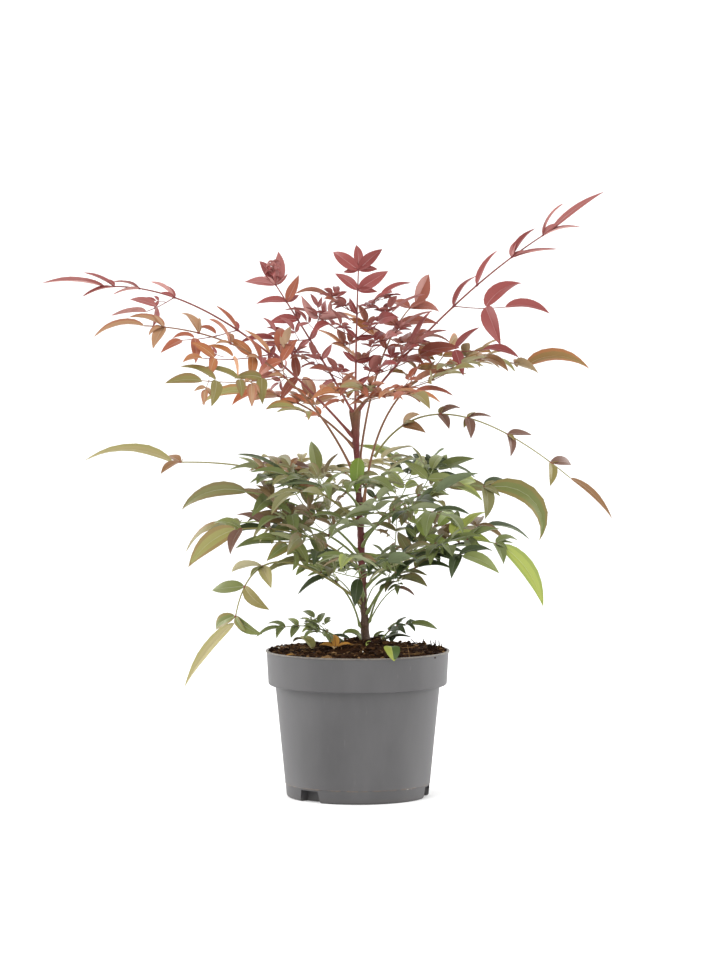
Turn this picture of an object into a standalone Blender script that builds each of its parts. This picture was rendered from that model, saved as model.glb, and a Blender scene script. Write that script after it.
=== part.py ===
"""Heavenly bamboo in a grey nursery pot.

Metres, +Z up, standing on z = 0 with the pot's axis at the origin. +X is the plant's right and -Y its front.
One cane rises from the soil. It carries the fronds: each is a bare stalk, here a bough, and a mass of
leaflets that one seeded rule grows along the stalk's own curve.
"""

import math
import random
from dataclasses import dataclass

import bmesh
import bpy
from mathutils import Vector, noise
from mathutils.bvhtree import BVHTree

# Clearances
GAP = 0.0003
LEAF_MARGIN = 0.0005
UP = Vector((0, 0, 1))
AXIS_STEPS = 12
NEARLY_UPRIGHT = 0.05

# Pot
POT_HEIGHT = 0.135
LIP_RADIUS = 0.085
LIP_DEPTH = 0.0016
LIP_PROUD = 0.0011
COLLAR_TOP_RADIUS = LIP_RADIUS - LIP_PROUD
COLLAR_FOOT_RADIUS = 0.0824
COLLAR_HEIGHT = 0.0317
COLLAR_CORNER = 0.0015
BODY_TOP_RADIUS = 0.0758
BODY_FOOT_RADIUS = 0.0669
SEAM_HEIGHT = 0.0125
SEAM_STEP = 0.0003
FOOT_CORNER = 0.0025
WALL = 0.0014
FLOOR = 0.0022
TURN_STEPS = 36

# Drain pockets in the pot's foot
DRAIN_ANGLES = (-132.0, -12.0, 108.0)
DRAIN_WIDTH = 0.0245
DRAIN_TOP_WIDTH = 0.0205
DRAIN_HEIGHT = 0.0108
DRAIN_DEPTH = 0.011
DRAIN_WALL = 0.0015
DRAIN_HOLE_RADIUS = 0.0035
DRAIN_HOLE_SIDES = 12

# Soil
SOIL_BELOW_LIP = 0.0025
SOIL_CROWN_HEIGHT = 0.1445
SOIL_FLAT_RADIUS = 0.0135
SOIL_LUMP = 0.0016
SOIL_LUMP_PITCH = 95.0
SOIL_RINGS = 8
SOIL_WALL_POWER = 6
SOIL_DIP = 0.0003

# Cane
CANE_FOOT_X = 0.0072
CANE_LEAN = -0.0096
CANE_FOOT = SOIL_CROWN_HEIGHT + GAP
CANE_TOP = 0.3535
CANE_RADIUS = 0.0025
CANE_TAPER = 0.0005
CANE_FLARE = 0.0019
CANE_FLARE_SHARE = 0.035
CANE_SHEATH = 0.0019
CANE_SHEATH_SHARE = 0.14
CANE_SEGMENTS = 13
CANE_STRAIGHT = 0.004
CANE_SIDES = 8

# Boughs
BOUGH_RADIUS = 0.0013
BOUGH_TAPER = 0.35
BOUGH_SWELL = 0.45
BOUGH_SWELL_SHARE = 0.06
BOUGH_SEGMENTS = 5
BOUGH_SIDES = 6
BOUGH_BEFORE_NODE = 0.03
TOP_RING_RADIUS = 0.0027

# Twigs and leaflets
RACHIS_RADIUS = 0.00095
RACHIS_TAPER = 0.35
RACHIS_PITCH = 0.034
SPRAY_RADIUS = 0.0007
SPRAY_ANGLE = 56.0
SPRAY_LEAST = 0.75
SPRAY_TAPER = 0.3
SPRAY_SUNK = 0.15
SPRAY_SWING = (-7.0, 7.0)
SPRAY_RISE = (-0.10, 0.22)
SPRAY_BEYOND_LAST = 0.6
SPRAY_LEAF_SHARE = 0.9
SPRAY_END_SHARE = 1.1
LEAF_ANGLE = 56.0
LEAF_WIDTH = 0.35
LEAF_ROLL = 24.0
LEAF_FOLD = 0.16
LEAF_KEEL = 0.13
LEAF_STATIONS = ((0.42, 1.0),)
LONG_LEAF = 0.042
LONG_LEAF_STATIONS = ((0.30, 0.95), (0.66, 0.78))
LEAF_LIKE_LIFE = 0.036
LEAF_WIDTH_POWER = 0.2
LEAF_SIZE = (0.86, 1.14)
LEAF_LIFT = (4.0, 20.0)
LEAF_DROOP = (26.0, 58.0)
LEAF_LEAN = (-8.0, 8.0)
LEAF_SINK = 0.0006
LEAF_OFFSET = 0.0003
LEAF_LEVEL = 0.45
LEAF_ROOT_SHARE = 0.2
LEAF_PITCH = 0.74
LEAF_TURNS = (0.0, 16.0, -16.0, 32.0, -32.0)
NODE_SEEDS = 7


@dataclass(frozen=True)
class Frond:
    """One compound leaf. Its axis is a bend from the foot, past a knee, to the root of its last leaflet."""

    name: str
    foot: float
    heading: float
    reach: float
    rise: float
    knee_out: float
    knee_up: float
    nodes: tuple
    side: float
    leaflet: float
    tip: float
    tint: str
    seed: int
    roll: float = 0.0
    bias: float = 0.0
    spread: float = 56.0
    tip_lift: float = 12.0
    tip_droop: float = 48.0
    tip_turn: float = 0.0
    tip_breadth: float = 1.0
    split: float = 1.0
    carrier: str = "cane"
    girth: float = 1.0


FRONDS = (
    Frond("top_shoot", CANE_TOP, 84, 0.028, 0.133, 0.004, 0.070, (0.18, 0.34, 0.50, 0.67, 0.84, 0.985), 0.60,
          0.034, 0.026, "crimson", 3),
    Frond("crown_left", CANE_TOP, 155, 0.0810, 0.120, 0.038, 0.060, (0.24, 0.40, 0.55, 0.70, 0.84, 0.97),
          0.50, 0.031, 0.024, "crimson", 5, roll=70, tip_turn=-40),
    Frond("upper_right", CANE_TOP, 6, 0.179, 0.1665, 0.088, 0.110, (0.28, 0.50, 0.62, 0.80, 0.96), 0.28,
          0.039, 0.056, "crimson", 8, roll=-58, bias=0.45, spread=26, split=0.68, tip_lift=12, tip_droop=26,
          tip_turn=14),
    Frond("upper_front", CANE_TOP, 296, 0.115, 0.018, 0.036, 0.026, (0.17, 0.35, 0.54, 0.74, 0.93), 0.52,
          0.034, 0.038, "rust", 13),
    Frond("far_left", 0.334, 180, 0.2255, 0.1355, 0.1225, 0.141, (0.31, 0.44, 0.70, 0.85, 0.96), 0.28, 0.031,
          0.056, "crimson", 21, roll=46, bias=-0.6, spread=24, split=0.42, tip_lift=20, tip_droop=30),
    Frond("upper_back_left", 0.3241, 165, 0.0935, 0.0463, 0.0466, 0.048, (0.34, 0.56, 0.76, 0.95), 0.40,
          0.034, 0.056, "rust", 34, roll=8, tip_lift=20, tip_droop=60, tip_turn=-40),
    Frond("upper_back_right", 0.3084, 62, 0.112, 0.146, 0.030, 0.112, (0.42, 0.58, 0.76, 0.93), 0.40,
          0.036, 0.036, "rust", 55, roll=-10, tip_lift=34, tip_droop=30, tip_turn=40, tip_breadth=1.25),
    Frond("left_orange", 0.300, 192, 0.1935, 0.1340, 0.0613, 0.130, (0.42, 0.54, 0.67, 0.80, 0.93), 0.44,
          0.036, 0.048, "rust", 89, roll=44, bias=-0.55, tip_lift=10, tip_droop=60, tip_turn=-25),
    Frond("mid_back_left", 0.286, 108, 0.150, 0.002, 0.045, 0.024, (0.30, 0.46, 0.66, 0.9), 0.56, 0.039,
          0.044, "olive", 144),
    Frond("right_bronze", 0.2733, 8, 0.1513, 0.123, 0.016, 0.155, (0.46, 0.60, 0.74, 0.86, 0.96), 0.50,
          0.037, 0.062, "olive", 233, roll=-8, tip_lift=50, tip_droop=80, tip_turn=45, tip_breadth=1.2),
    Frond("right_drooping", 0.34, 346, 0.1826, -0.018, 0.0530, 0.0860, (0.22, 0.44, 0.58, 0.76, 0.93), 0.12,
          0.029, 0.064, "olive", 377, roll=-26, tip_lift=20, tip_droop=38, tip_turn=24,
          carrier="right_bronze", girth=0.85),
    Frond("left_front", 0.2690, 244, 0.125, 0.016, 0.040, 0.032, (0.26, 0.44, 0.68, 0.93), 0.62, 0.040,
          0.046, "green", 610),
    Frond("left_long", 0.2547, 176, 0.169, 0.0527, 0.055, 0.0573, (0.28, 0.44, 0.62, 0.97), 0.32, 0.034,
          0.086, "olive", 987, roll=8, tip_lift=34, tip_droop=62, tip_turn=-30),
    Frond("mid_back_right", 0.250, 64, 0.150, 0.052, 0.045, 0.052, (0.26, 0.44, 0.66, 0.9), 0.56, 0.039,
          0.044, "green", 1597, roll=-12),
    Frond("right_green", 0.2409, 354, 0.114, 0.0444, 0.055, 0.0573, (0.24, 0.44, 0.70, 0.96), 0.56, 0.037,
          0.080, "green", 2584, roll=-26, tip_lift=26, tip_droop=132, tip_turn=50, tip_breadth=1.2),
    Frond("right_front", 0.2330, 302, 0.130, 0.034, 0.042, 0.044, (0.26, 0.44, 0.66, 0.92), 0.60, 0.040,
          0.046, "green", 4181, roll=-10),
    Frond("left_green", 0.2270, 197, 0.105, 0.0555, 0.037, 0.0456, (0.28, 0.52, 0.82), 0.70, 0.039, 0.063,
          "green", 6765, roll=36, tip_lift=8, tip_droop=84, tip_turn=-35),
    Frond("left_back", 0.2190, 148, 0.145, 0.026, 0.050, 0.045, (0.28, 0.46, 0.68, 0.93), 0.50, 0.037,
          0.062, "green", 10946, roll=16, tip_droop=60, tip_turn=-20),
    Frond("left_bronze", 0.2110, 207, 0.1237, 0.0390, 0.050, 0.0440, (0.30, 0.52, 0.76, 0.97), 0.52, 0.037,
          0.057, "olive", 17711, roll=30, tip_lift=-6, tip_droop=44, tip_turn=-60, tip_breadth=1.3),
    Frond("right_back", 0.2050, 30, 0.130, 0.040, 0.050, 0.045, (0.28, 0.46, 0.68, 0.93), 0.50, 0.037,
          0.046, "green", 28657, roll=-16),
    Frond("left_low", 0.1800, 206, 0.126, -0.0150, 0.110, 0.085, (0.60, 0.80, 0.97), 0.30, 0.042,
          0.086, "olive", 46368, roll=24, tip_lift=42, tip_droop=24, tip_turn=-35),
    Frond("right_lime", 0.1950, 339, 0.1290, 0.0403, 0.064, 0.0575, (0.30, 0.52, 0.76, 0.97), 0.46, 0.037,
          0.067, "lime", 75025, roll=-22, tip_lift=-12, tip_droop=46, tip_turn=50, tip_breadth=1.15),
    Frond("front_low", 0.1870, 264, 0.120, 0.042, 0.045, 0.042, (0.22, 0.40, 0.58, 0.78, 0.96), 0.50, 0.038,
          0.042, "green", 121393),
    Frond("right_thin", 0.1710, 322, 0.108, 0.056, 0.040, 0.066, (0.36, 0.56, 0.78, 0.97), 0.46, 0.034,
          0.040, "green", 196418, roll=-20),
    Frond("low_left", 0.1580, 198, 0.056, 0.056, 0.010, 0.046, (0.56, 0.78, 0.96), 0.66, 0.031, 0.040,
          "green", 317811, roll=30, tip_droop=84, girth=0.85),
    Frond("low_right", 0.1620, 350, 0.045, 0.050, 0.008, 0.042, (0.54, 0.76, 0.96), 0.70, 0.030, 0.034,
          "green", 514229, roll=-30, girth=0.85),
)
BASAL_SHOOTS = (
    Frond("basal_left", 0.020, 190, 0.058, 0.014, 0.026, 0.020, (0.30, 0.52, 0.76, 0.96), 0.50, 0.021,
          0.028, "green", 832040, roll=20, carrier="soil", girth=0.7),
    Frond("basal_right", 0.015, 352, 0.027, 0.015, 0.010, 0.016, (0.34, 0.60, 0.90), 0.60, 0.020, 0.024,
          "green", 1346269, roll=-20, carrier="soil", girth=0.7),
)

TINTS = {
    "crimson": (0.27, 0.045, 0.042, 1),
    "rust": (0.30, 0.105, 0.045, 1),
    "olive": (0.16, 0.13, 0.045, 1),
    "green": (0.055, 0.10, 0.035, 1),
    "lime": (0.26, 0.33, 0.06, 1),
    "bark": (0.13, 0.035, 0.035, 1),
    "pot": (0.145, 0.142, 0.145, 1),
    "soil": (0.055, 0.032, 0.020, 1),
}
ROUGHNESS = {"pot": 0.55, "soil": 0.95, "bark": 0.6}
LEAF_ROUGHNESS = 0.5


@dataclass
class Axis:
    """A bend of the second degree through a knee."""

    start: Vector
    knee: Vector
    end: Vector

    def point(self, share):
        rest = 1 - share
        return rest * rest * self.start + 2 * share * rest * self.knee + share * share * self.end

    def tangent(self, share):
        return ((1 - share) * (self.knee - self.start) + share * (self.end - self.knee)).normalized()

    def length(self):
        marks = [self.point(k / AXIS_STEPS) for k in range(AXIS_STEPS + 1)]
        return sum((b - a).length for a, b in zip(marks, marks[1:]))


@dataclass
class Leaf:
    """A leaflet: a midrib that lifts off its root and droops, with two halves folded up from it."""

    root: Vector
    heading: Vector
    up: Vector
    length: float
    lift: float
    droop: float
    turn: float = 0.0
    breadth: float = 1.0


def clear_scene():
    """Empty the file of objects."""
    for obj in list(bpy.data.objects):
        bpy.data.objects.remove(obj, do_unlink=True)


def new_collection(name):
    """A collection linked to the scene."""
    made = bpy.data.collections.new(name)
    bpy.context.scene.collection.children.link(made)
    return made


def finish(name, tint):
    """A matte finish of one colour for one sub-part."""
    made = bpy.data.materials.new(name)
    made.use_nodes = True
    shader = made.node_tree.nodes["Principled BSDF"]
    shader.inputs["Base Color"].default_value = TINTS[tint]
    shader.inputs["Roughness"].default_value = ROUGHNESS.get(tint, LEAF_ROUGHNESS)
    shader.inputs["Metallic"].default_value = 0.0
    return made


def add_object(name, data, collection, tint=None, origin=Vector()):
    """An object in the collection, with its finish, at its own origin."""
    obj = bpy.data.objects.new(name, data)
    obj.location = origin
    if tint:
        data.materials.append(finish(name, tint))
    collection.objects.link(obj)
    return obj


def evaluated_mesh(obj):
    """The object's mesh as its modifiers leave it."""
    bpy.context.view_layer.update()
    graph = bpy.context.evaluated_depsgraph_get()
    return bpy.data.meshes.new_from_object(obj.evaluated_get(graph))


def replace_mesh(obj, mesh, tint):
    """Give the object a finished mesh and drop its modifiers."""
    obj.modifiers.clear()
    obj.data = mesh
    mesh.materials.clear()
    mesh.materials.append(finish(obj.name, tint))


def turned(name, profile, steps, collection, tint):
    """A body turned round the Z axis from (radius, height) pairs that run down its outer side."""
    mesh = bpy.data.meshes.new(name)
    points = [(radius, 0.0, height) for radius, height in profile]
    mesh.from_pydata(points, [(i, i + 1) for i in range(len(points) - 1)], [])
    obj = add_object(name, mesh, collection, tint)
    screw = obj.modifiers.new("Turn", "SCREW")
    screw.steps = steps
    screw.render_steps = steps
    screw.use_merge_vertices = True
    screw.merge_threshold = 0.00001
    screw.use_smooth_shade = True
    return obj


def helper(obj):
    """Mark an object as a cutter that is not part of the model."""
    obj.hide_render = True
    obj.display_type = "WIRE"
    return obj


def boolean(obj, other, operation):
    """Join or cut with another object."""
    modifier = obj.modifiers.new(operation.title(), "BOOLEAN")
    modifier.operation = operation
    modifier.object = other
    modifier.solver = "EXACT"


def wedge(name, angle, outer, depth, widths, floor, ceiling, collection):
    """A block across the pot's foot, narrower at its ceiling, from depth inside the outer radius outwards."""
    bm = bmesh.new()
    bmesh.ops.create_cube(bm, size=1.0)
    for vert in bm.verts:
        high = vert.co.z > 0
        vert.co.x = outer if vert.co.x > 0 else outer - depth
        vert.co.y = math.copysign(widths[high] / 2, vert.co.y)
        vert.co.z = ceiling if high else floor
    mesh = bpy.data.meshes.new(name)
    bm.to_mesh(mesh)
    bm.free()
    obj = helper(add_object(name, mesh, collection))
    obj.rotation_euler.z = math.radians(angle)
    return obj


def pot_inside():
    """(radius, height) pairs up the pot's inner side, from its floor to its lip."""
    step = POT_HEIGHT - COLLAR_HEIGHT
    return [
        (BODY_FOOT_RADIUS - WALL - FOOT_CORNER, FLOOR),
        (BODY_FOOT_RADIUS - WALL, FLOOR + FOOT_CORNER),
        (BODY_TOP_RADIUS - WALL, step),
        (COLLAR_FOOT_RADIUS - WALL, step + WALL + COLLAR_CORNER),
        (COLLAR_TOP_RADIUS - WALL, POT_HEIGHT - LIP_DEPTH),
    ]


def make_pot(parts, cutters):
    """The pot: a turned shell with a lip, a collar and three drain pockets at its foot."""
    step = POT_HEIGHT - COLLAR_HEIGHT
    outside = [
        (COLLAR_TOP_RADIUS - WALL, POT_HEIGHT - LIP_DEPTH / 3),
        (COLLAR_TOP_RADIUS - WALL / 2, POT_HEIGHT),
        (LIP_RADIUS - LIP_DEPTH / 3, POT_HEIGHT),
        (LIP_RADIUS, POT_HEIGHT - LIP_DEPTH / 3),
        (LIP_RADIUS, POT_HEIGHT - LIP_DEPTH),
        (COLLAR_TOP_RADIUS, POT_HEIGHT - LIP_DEPTH * 1.3),
        (COLLAR_FOOT_RADIUS, step + COLLAR_CORNER),
        (COLLAR_FOOT_RADIUS - COLLAR_CORNER / 3, step + COLLAR_CORNER / 3),
        (COLLAR_FOOT_RADIUS - COLLAR_CORNER, step),
        (BODY_TOP_RADIUS, step - COLLAR_CORNER / 3),
        (BODY_FOOT_RADIUS, SEAM_HEIGHT),
        (BODY_FOOT_RADIUS - SEAM_STEP, SEAM_HEIGHT - SEAM_STEP),
        (BODY_FOOT_RADIUS - SEAM_STEP - FOOT_CORNER / 4, FOOT_CORNER),
        (BODY_FOOT_RADIUS - SEAM_STEP - FOOT_CORNER / 2, FOOT_CORNER / 3),
        (BODY_FOOT_RADIUS - SEAM_STEP - FOOT_CORNER, 0.0),
        (0.0, 0.0),
    ]
    profile = [(0.0, FLOOR)] + pot_inside() + outside
    pot = turned("pot", profile, TURN_STEPS, parts, "pot")
    widths = (DRAIN_WIDTH, DRAIN_TOP_WIDTH)
    shell_widths = (DRAIN_WIDTH + 2 * DRAIN_WALL, DRAIN_TOP_WIDTH + 2 * DRAIN_WALL)
    inner = BODY_FOOT_RADIUS - WALL / 2
    for index, angle in enumerate(DRAIN_ANGLES):
        ceiling = DRAIN_HEIGHT + DRAIN_WALL
        shell = wedge(f"drain_shell_{index}", angle, inner, DRAIN_DEPTH + DRAIN_WALL, shell_widths, FLOOR / 2,
                      ceiling, cutters)
        boolean(pot, shell, "UNION")
        notch = wedge(f"drain_notch_{index}", angle, LIP_RADIUS, LIP_RADIUS - inner + DRAIN_DEPTH, widths,
                      -FLOOR, DRAIN_HEIGHT, cutters)
        boolean(pot, notch, "DIFFERENCE")
        boolean(pot, drain_hole(index, angle, inner, cutters), "DIFFERENCE")
    replace_mesh(pot, evaluated_mesh(pot), "pot")
    return pot


def drain_hole(index, angle, inner, cutters):
    """The round hole from a drain pocket's ceiling into the pot."""
    bm = bmesh.new()
    radius = DRAIN_HOLE_RADIUS
    bmesh.ops.create_cone(bm, cap_ends=True, segments=DRAIN_HOLE_SIDES, radius1=radius, radius2=radius,
                          depth=4 * DRAIN_WALL)
    mesh = bpy.data.meshes.new(f"drain_hole_{index}")
    bm.to_mesh(mesh)
    bm.free()
    out = inner - DRAIN_DEPTH / 2
    turn = math.radians(angle)
    place = Vector((out * math.cos(turn), out * math.sin(turn), DRAIN_HEIGHT + DRAIN_WALL / 2))
    return helper(add_object(mesh.name, mesh, cutters, origin=place))


def soil_height(x, y, edge):
    """The soil's surface: level round the cane, then a lumpy slope down to the pot's wall."""
    from_cane = math.hypot(x - CANE_FOOT_X, y)
    if from_cane <= SOIL_FLAT_RADIUS:
        return SOIL_CROWN_HEIGHT
    low = POT_HEIGHT - SOIL_BELOW_LIP
    slope = min(1.0, (from_cane - SOIL_FLAT_RADIUS) / (edge - SOIL_FLAT_RADIUS))
    ease = 1 - (1 - slope) ** 2
    lump = noise.noise(Vector((x * SOIL_LUMP_PITCH, y * SOIL_LUMP_PITCH, 0.0)))
    near_wall = 1 - max(0.0, math.hypot(x, y) / edge) ** SOIL_WALL_POWER
    return SOIL_CROWN_HEIGHT + (low - SOIL_CROWN_HEIGHT) * ease + SOIL_LUMP * lump * near_wall


def make_soil(parts, cutters):
    """The peat that fills the pot, cut clear of the drain pockets."""
    inside = [(radius - GAP, height + GAP) for radius, height in pot_inside()]
    edge_radius = inside[-1][0]
    edge_height = POT_HEIGHT - SOIL_BELOW_LIP
    rings = [(edge_radius * k / SOIL_RINGS, SOIL_CROWN_HEIGHT) for k in range(SOIL_RINGS)]
    profile = rings + [(edge_radius - GAP, edge_height)] + inside[3::-1] + [(0.0, FLOOR + GAP)]
    soil = turned("soil", profile, TURN_STEPS, parts, "soil")
    mesh = evaluated_mesh(soil)
    for vert in mesh.vertices:
        if vert.co.z > edge_height - GAP:
            vert.co.z = soil_height(vert.co.x, vert.co.y, edge_radius)
    replace_mesh(soil, mesh, "soil")
    widths = (DRAIN_WIDTH + 2 * DRAIN_WALL + 2 * GAP, DRAIN_TOP_WIDTH + 2 * DRAIN_WALL + 2 * GAP)
    for index, angle in enumerate(DRAIN_ANGLES):
        depth = LIP_RADIUS - BODY_FOOT_RADIUS + WALL / 2 + DRAIN_DEPTH + DRAIN_WALL + GAP
        room = wedge(f"soil_notch_{index}", angle, LIP_RADIUS, depth, widths, FLOOR / 2,
                     DRAIN_HEIGHT + DRAIN_WALL + GAP, cutters)
        boolean(soil, room, "DIFFERENCE")
    replace_mesh(soil, evaluated_mesh(soil), "soil")
    return soil


def cane_share(height):
    """How far up the cane a height is, from 0 at its foot to 1 at its top."""
    return (height - CANE_FOOT) / (CANE_TOP - CANE_FOOT)


def cane_point(height):
    """The cane's centre at a height."""
    return Vector((CANE_FOOT_X + CANE_LEAN * cane_share(height), 0.0, height))


def cane_radius(height):
    """The cane's radius: a flare at the roots, a slow taper, and the leaf sheaths that widen its top."""
    share = cane_share(height)
    sheath = max(0.0, (share - 1 + CANE_SHEATH_SHARE) / CANE_SHEATH_SHARE)
    flare = CANE_FLARE * math.exp(-share / CANE_FLARE_SHARE)
    return CANE_RADIUS + CANE_TAPER * (1 - share) + flare + CANE_SHEATH * sheath


def tube(name, points, radii, sides, collection, tint):
    """A tapering limb: a curve of straight runs with a round bevel and filled caps."""
    curve = bpy.data.curves.new(name, "CURVE")
    curve.dimensions = "3D"
    curve.bevel_depth = 1.0
    curve.bevel_resolution = (sides - 4) // 2
    curve.use_fill_caps = True
    spline = curve.splines.new("POLY")
    spline.points.add(len(points) - 1)
    for mark, point, radius in zip(spline.points, points, radii):
        mark.co = (*(point - points[0]), 1.0)
        mark.radius = radius
    return add_object(name, curve, collection, tint, points[0])


def make_cane(parts):
    """The cane, from its flat cut at the soil to its top among the sheaths."""
    heights = [CANE_FOOT, CANE_FOOT + CANE_STRAIGHT]
    first = heights[-1]
    heights += [first + (CANE_TOP - first) * k / CANE_SEGMENTS for k in range(1, CANE_SEGMENTS + 1)]
    points = [cane_point(height) for height in heights]
    points[1].x = points[0].x
    return tube("cane", points, [cane_radius(height) for height in heights], CANE_SIDES, parts, "bark")


def ring_reach(radius, tangent, direction):
    """How far a ring square to the tangent extends along a direction."""
    return radius * math.sqrt(max(0.0, 1 - tangent.dot(direction) ** 2))


def frond_axis(frond, axes):
    """The frond's axis, its foot standing just clear of what carries it."""
    turn = math.radians(frond.heading)
    out = Vector((math.cos(turn), math.sin(turn), 0))
    knee = out * frond.knee_out + UP * frond.knee_up
    end = out * frond.reach + UP * frond.rise
    tangent = knee.normalized()
    girth = foot_radius(frond)
    if frond.carrier == "soil":
        x, y = CANE_FOOT_X + frond.foot * out.x, frond.foot * out.y
        surface = soil_height(x, y, COLLAR_TOP_RADIUS - WALL - GAP)
        start = Vector((x, y, surface - SOIL_DIP + GAP + ring_reach(girth, tangent, UP)))
    elif frond.carrier != "cane":
        carrier, share = axes[frond.carrier], frond.foot * bough_share(frond.carrier)
        along = carrier.tangent(share)
        sideways = (out - along * out.dot(along)).normalized()
        thick = bough_radius(frond_named(frond.carrier), frond.foot)
        clear = thick + GAP + ring_reach(girth, tangent, sideways)
        start = carrier.point(share) + sideways * clear
    elif frond.foot >= CANE_TOP:
        clear = GAP + ring_reach(girth, tangent, UP)
        start = cane_point(CANE_TOP) + out * TOP_RING_RADIUS + UP * clear
    else:
        clear = cane_radius(frond.foot) + GAP + ring_reach(girth, tangent, out)
        start = cane_point(frond.foot) + out * clear
    return Axis(start, start + knee, start + end)


def frond_named(name):
    """The frond of that name."""
    return next(frond for frond in FRONDS if frond.name == name)


def bough_share(name):
    """The share of a frond's axis that is its bare stalk."""
    return frond_named(name).nodes[0] - BOUGH_BEFORE_NODE


def foot_radius(frond):
    """The radius of a frond's stalk where it starts."""
    if frond.carrier == "soil":
        return RACHIS_RADIUS * frond.girth
    return bough_radius(frond, 0.0)


def bough_radius(frond, share):
    """A stalk's radius: it tapers, and swells at its foot and at the node that ends it."""
    at_foot = math.exp(-share / BOUGH_SWELL_SHARE)
    at_node = math.exp((share - 1) / BOUGH_SWELL_SHARE)
    swell = BOUGH_SWELL * (at_foot + at_node / 2)
    return BOUGH_RADIUS * frond.girth * (1 - BOUGH_TAPER * share) * (1 + swell)


def make_bough(frond, axis, parts):
    """A frond's bare stalk."""
    end = bough_share(frond.name)
    shares = [k / BOUGH_SEGMENTS for k in range(BOUGH_SEGMENTS + 1)]
    points = [axis.point(share * end) for share in shares]
    radii = [bough_radius(frond, share) for share in shares]
    return tube(f"bough_{frond.name}", points, radii, BOUGH_SIDES, parts, "bark")


def loft(rings):
    """(points, faces) of a closed skin over rings of three points. An end of one point closes to it."""
    points = [point for ring in rings for point in ring]
    starts = [sum(len(ring) for ring in rings[:k]) for k in range(len(rings))]
    faces = []
    for (a, ring), (b, following) in zip(zip(starts, rings), zip(starts[1:], rings[1:])):
        for k in range(3):
            after = (k + 1) % 3
            if len(ring) == 1:
                faces.append((a, b + k, b + after))
            elif len(following) == 1:
                faces.append((a + after, a + k, b))
            else:
                faces.append((a + after, a + k, b + k))
                faces.append((a + after, b + k, b + after))
    if len(rings[0]) == 3:
        faces.append((0, 1, 2))
    if len(rings[-1]) == 3:
        faces.append((starts[-1] + 2, starts[-1] + 1, starts[-1]))
    return points, faces


def frame_at(tangent, roll):
    """(side, up) square to a tangent: up is as near to the world's up as it can be, then rolled."""
    side = tangent.cross(UP)
    if side.length < NEARLY_UPRIGHT:
        side = Vector((1, 0, 0))
    side.normalize()
    up = side.cross(tangent).normalized()
    turn = math.radians(roll)
    return side * math.cos(turn) + up * math.sin(turn), up * math.cos(turn) - side * math.sin(turn)


def twig_rings(points, radii, margin=0.0):
    """Three-sided rings along a twig's points."""
    rings = []
    for index, (point, radius) in enumerate(zip(points, radii)):
        before, after = points[max(index - 1, 0)], points[min(index + 1, len(points) - 1)]
        side, up = frame_at((after - before).normalized(), 0.0)
        corners = (math.radians(90 + 120 * k) for k in range(3))
        rings.append([point + (side * math.cos(c) + up * math.sin(c)) * (radius + margin) for c in corners])
    return rings


def leaf_width(length):
    """A leaflet's width: long ones are narrower for their length."""
    return LEAF_WIDTH * min(length, LEAF_LIKE_LIFE * (length / LEAF_LIKE_LIFE) ** LEAF_WIDTH_POWER)


def midrib(leaf, share):
    """(point, normal) on a leaflet's midrib, which bends evenly from its lift through its droop."""
    angle = leaf.lift - leaf.droop * share
    along = (math.sin(leaf.lift) - math.sin(angle)) / leaf.droop
    above = (math.cos(angle) - math.cos(leaf.lift)) / leaf.droop
    point = leaf.root + (leaf.heading * along + leaf.up * above) * leaf.length
    return point, leaf.up * math.cos(angle) - leaf.heading * math.sin(angle)


def blade(leaf, share):
    """(middle, side, normal) of the blade at a share of its length, turned about the midrib."""
    middle, normal = midrib(leaf, share)
    side = leaf.heading.cross(leaf.up).normalized()
    cosine, sine = math.cos(leaf.turn), math.sin(leaf.turn)
    return middle, side * cosine - normal * sine, normal * cosine + side * sine


def leaf_rings(leaf, margin=0.0, start=0.0):
    """A leaflet's rings from a share of its length: a point, stations with raised edges, a tip."""
    first = midrib(leaf, start)[0] if start else leaf.root - leaf.heading * LEAF_SINK
    rings = [[first]]
    stations = LONG_LEAF_STATIONS if leaf.length > LONG_LEAF else LEAF_STATIONS
    for share, breadth in stations:
        middle, side, normal = blade(leaf, share)
        half = leaf_width(leaf.length) * leaf.breadth * breadth / 2
        raised = normal * (half * LEAF_FOLD * 2 + margin)
        keel = normal * (half * LEAF_KEEL + margin)
        rings.append([middle + side * (half + margin) + raised, middle - side * (half + margin) + raised,
                      middle - keel])
    return rings + [[midrib(leaf, 1.0)[0]]]


class Clearance:
    """Every solid placed so far. Pieces of one node meet at their roots, where only outer parts count."""

    def __init__(self):
        self.kept = []

    @staticmethod
    def record(solid):
        """(centre, radius, tree) of a piece."""
        points, faces = solid
        centre = sum(points, Vector()) / len(points)
        radius = max((point - centre).length for point in points)
        return centre, radius, BVHTree.FromPolygons(points, faces)

    def keep(self, node, whole, outer):
        """Remember a piece of a node."""
        self.kept.append((node, self.record(whole), self.record(outer)))

    def is_free(self, node, whole, outer):
        """Whether a piece is clear of the other nodes, and its outer part of its own."""
        asked, asked_outer = self.record(whole), self.record(outer)
        for owner, kept, kept_outer in self.kept:
            centre, radius, tree = asked_outer if owner == node else asked
            other_centre, other_radius, other = kept_outer if owner == node else kept
            if (centre - other_centre).length < radius + other_radius and tree.overlap(other):
                return False
        return True


def rachis_radius(frond, share):
    """The radius of a frond's axis beyond its stalk."""
    return RACHIS_RADIUS * frond.girth * (1 - RACHIS_TAPER * share)


def rachis(frond, axis, low, high):
    """(points, radii) of a stretch of the frond's axis, with a point at each of its nodes."""
    marks = [low] + [share for share in frond.nodes if low < share < high] + [high]
    shares = [low]
    for before, after in zip(marks, marks[1:]):
        runs = max(1, round(axis.length() * (after - before) / RACHIS_PITCH))
        shares += [before + (after - before) * (k + 1) / runs for k in range(runs)]
    return [axis.point(share) for share in shares], [rachis_radius(frond, share) for share in shares]


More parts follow.
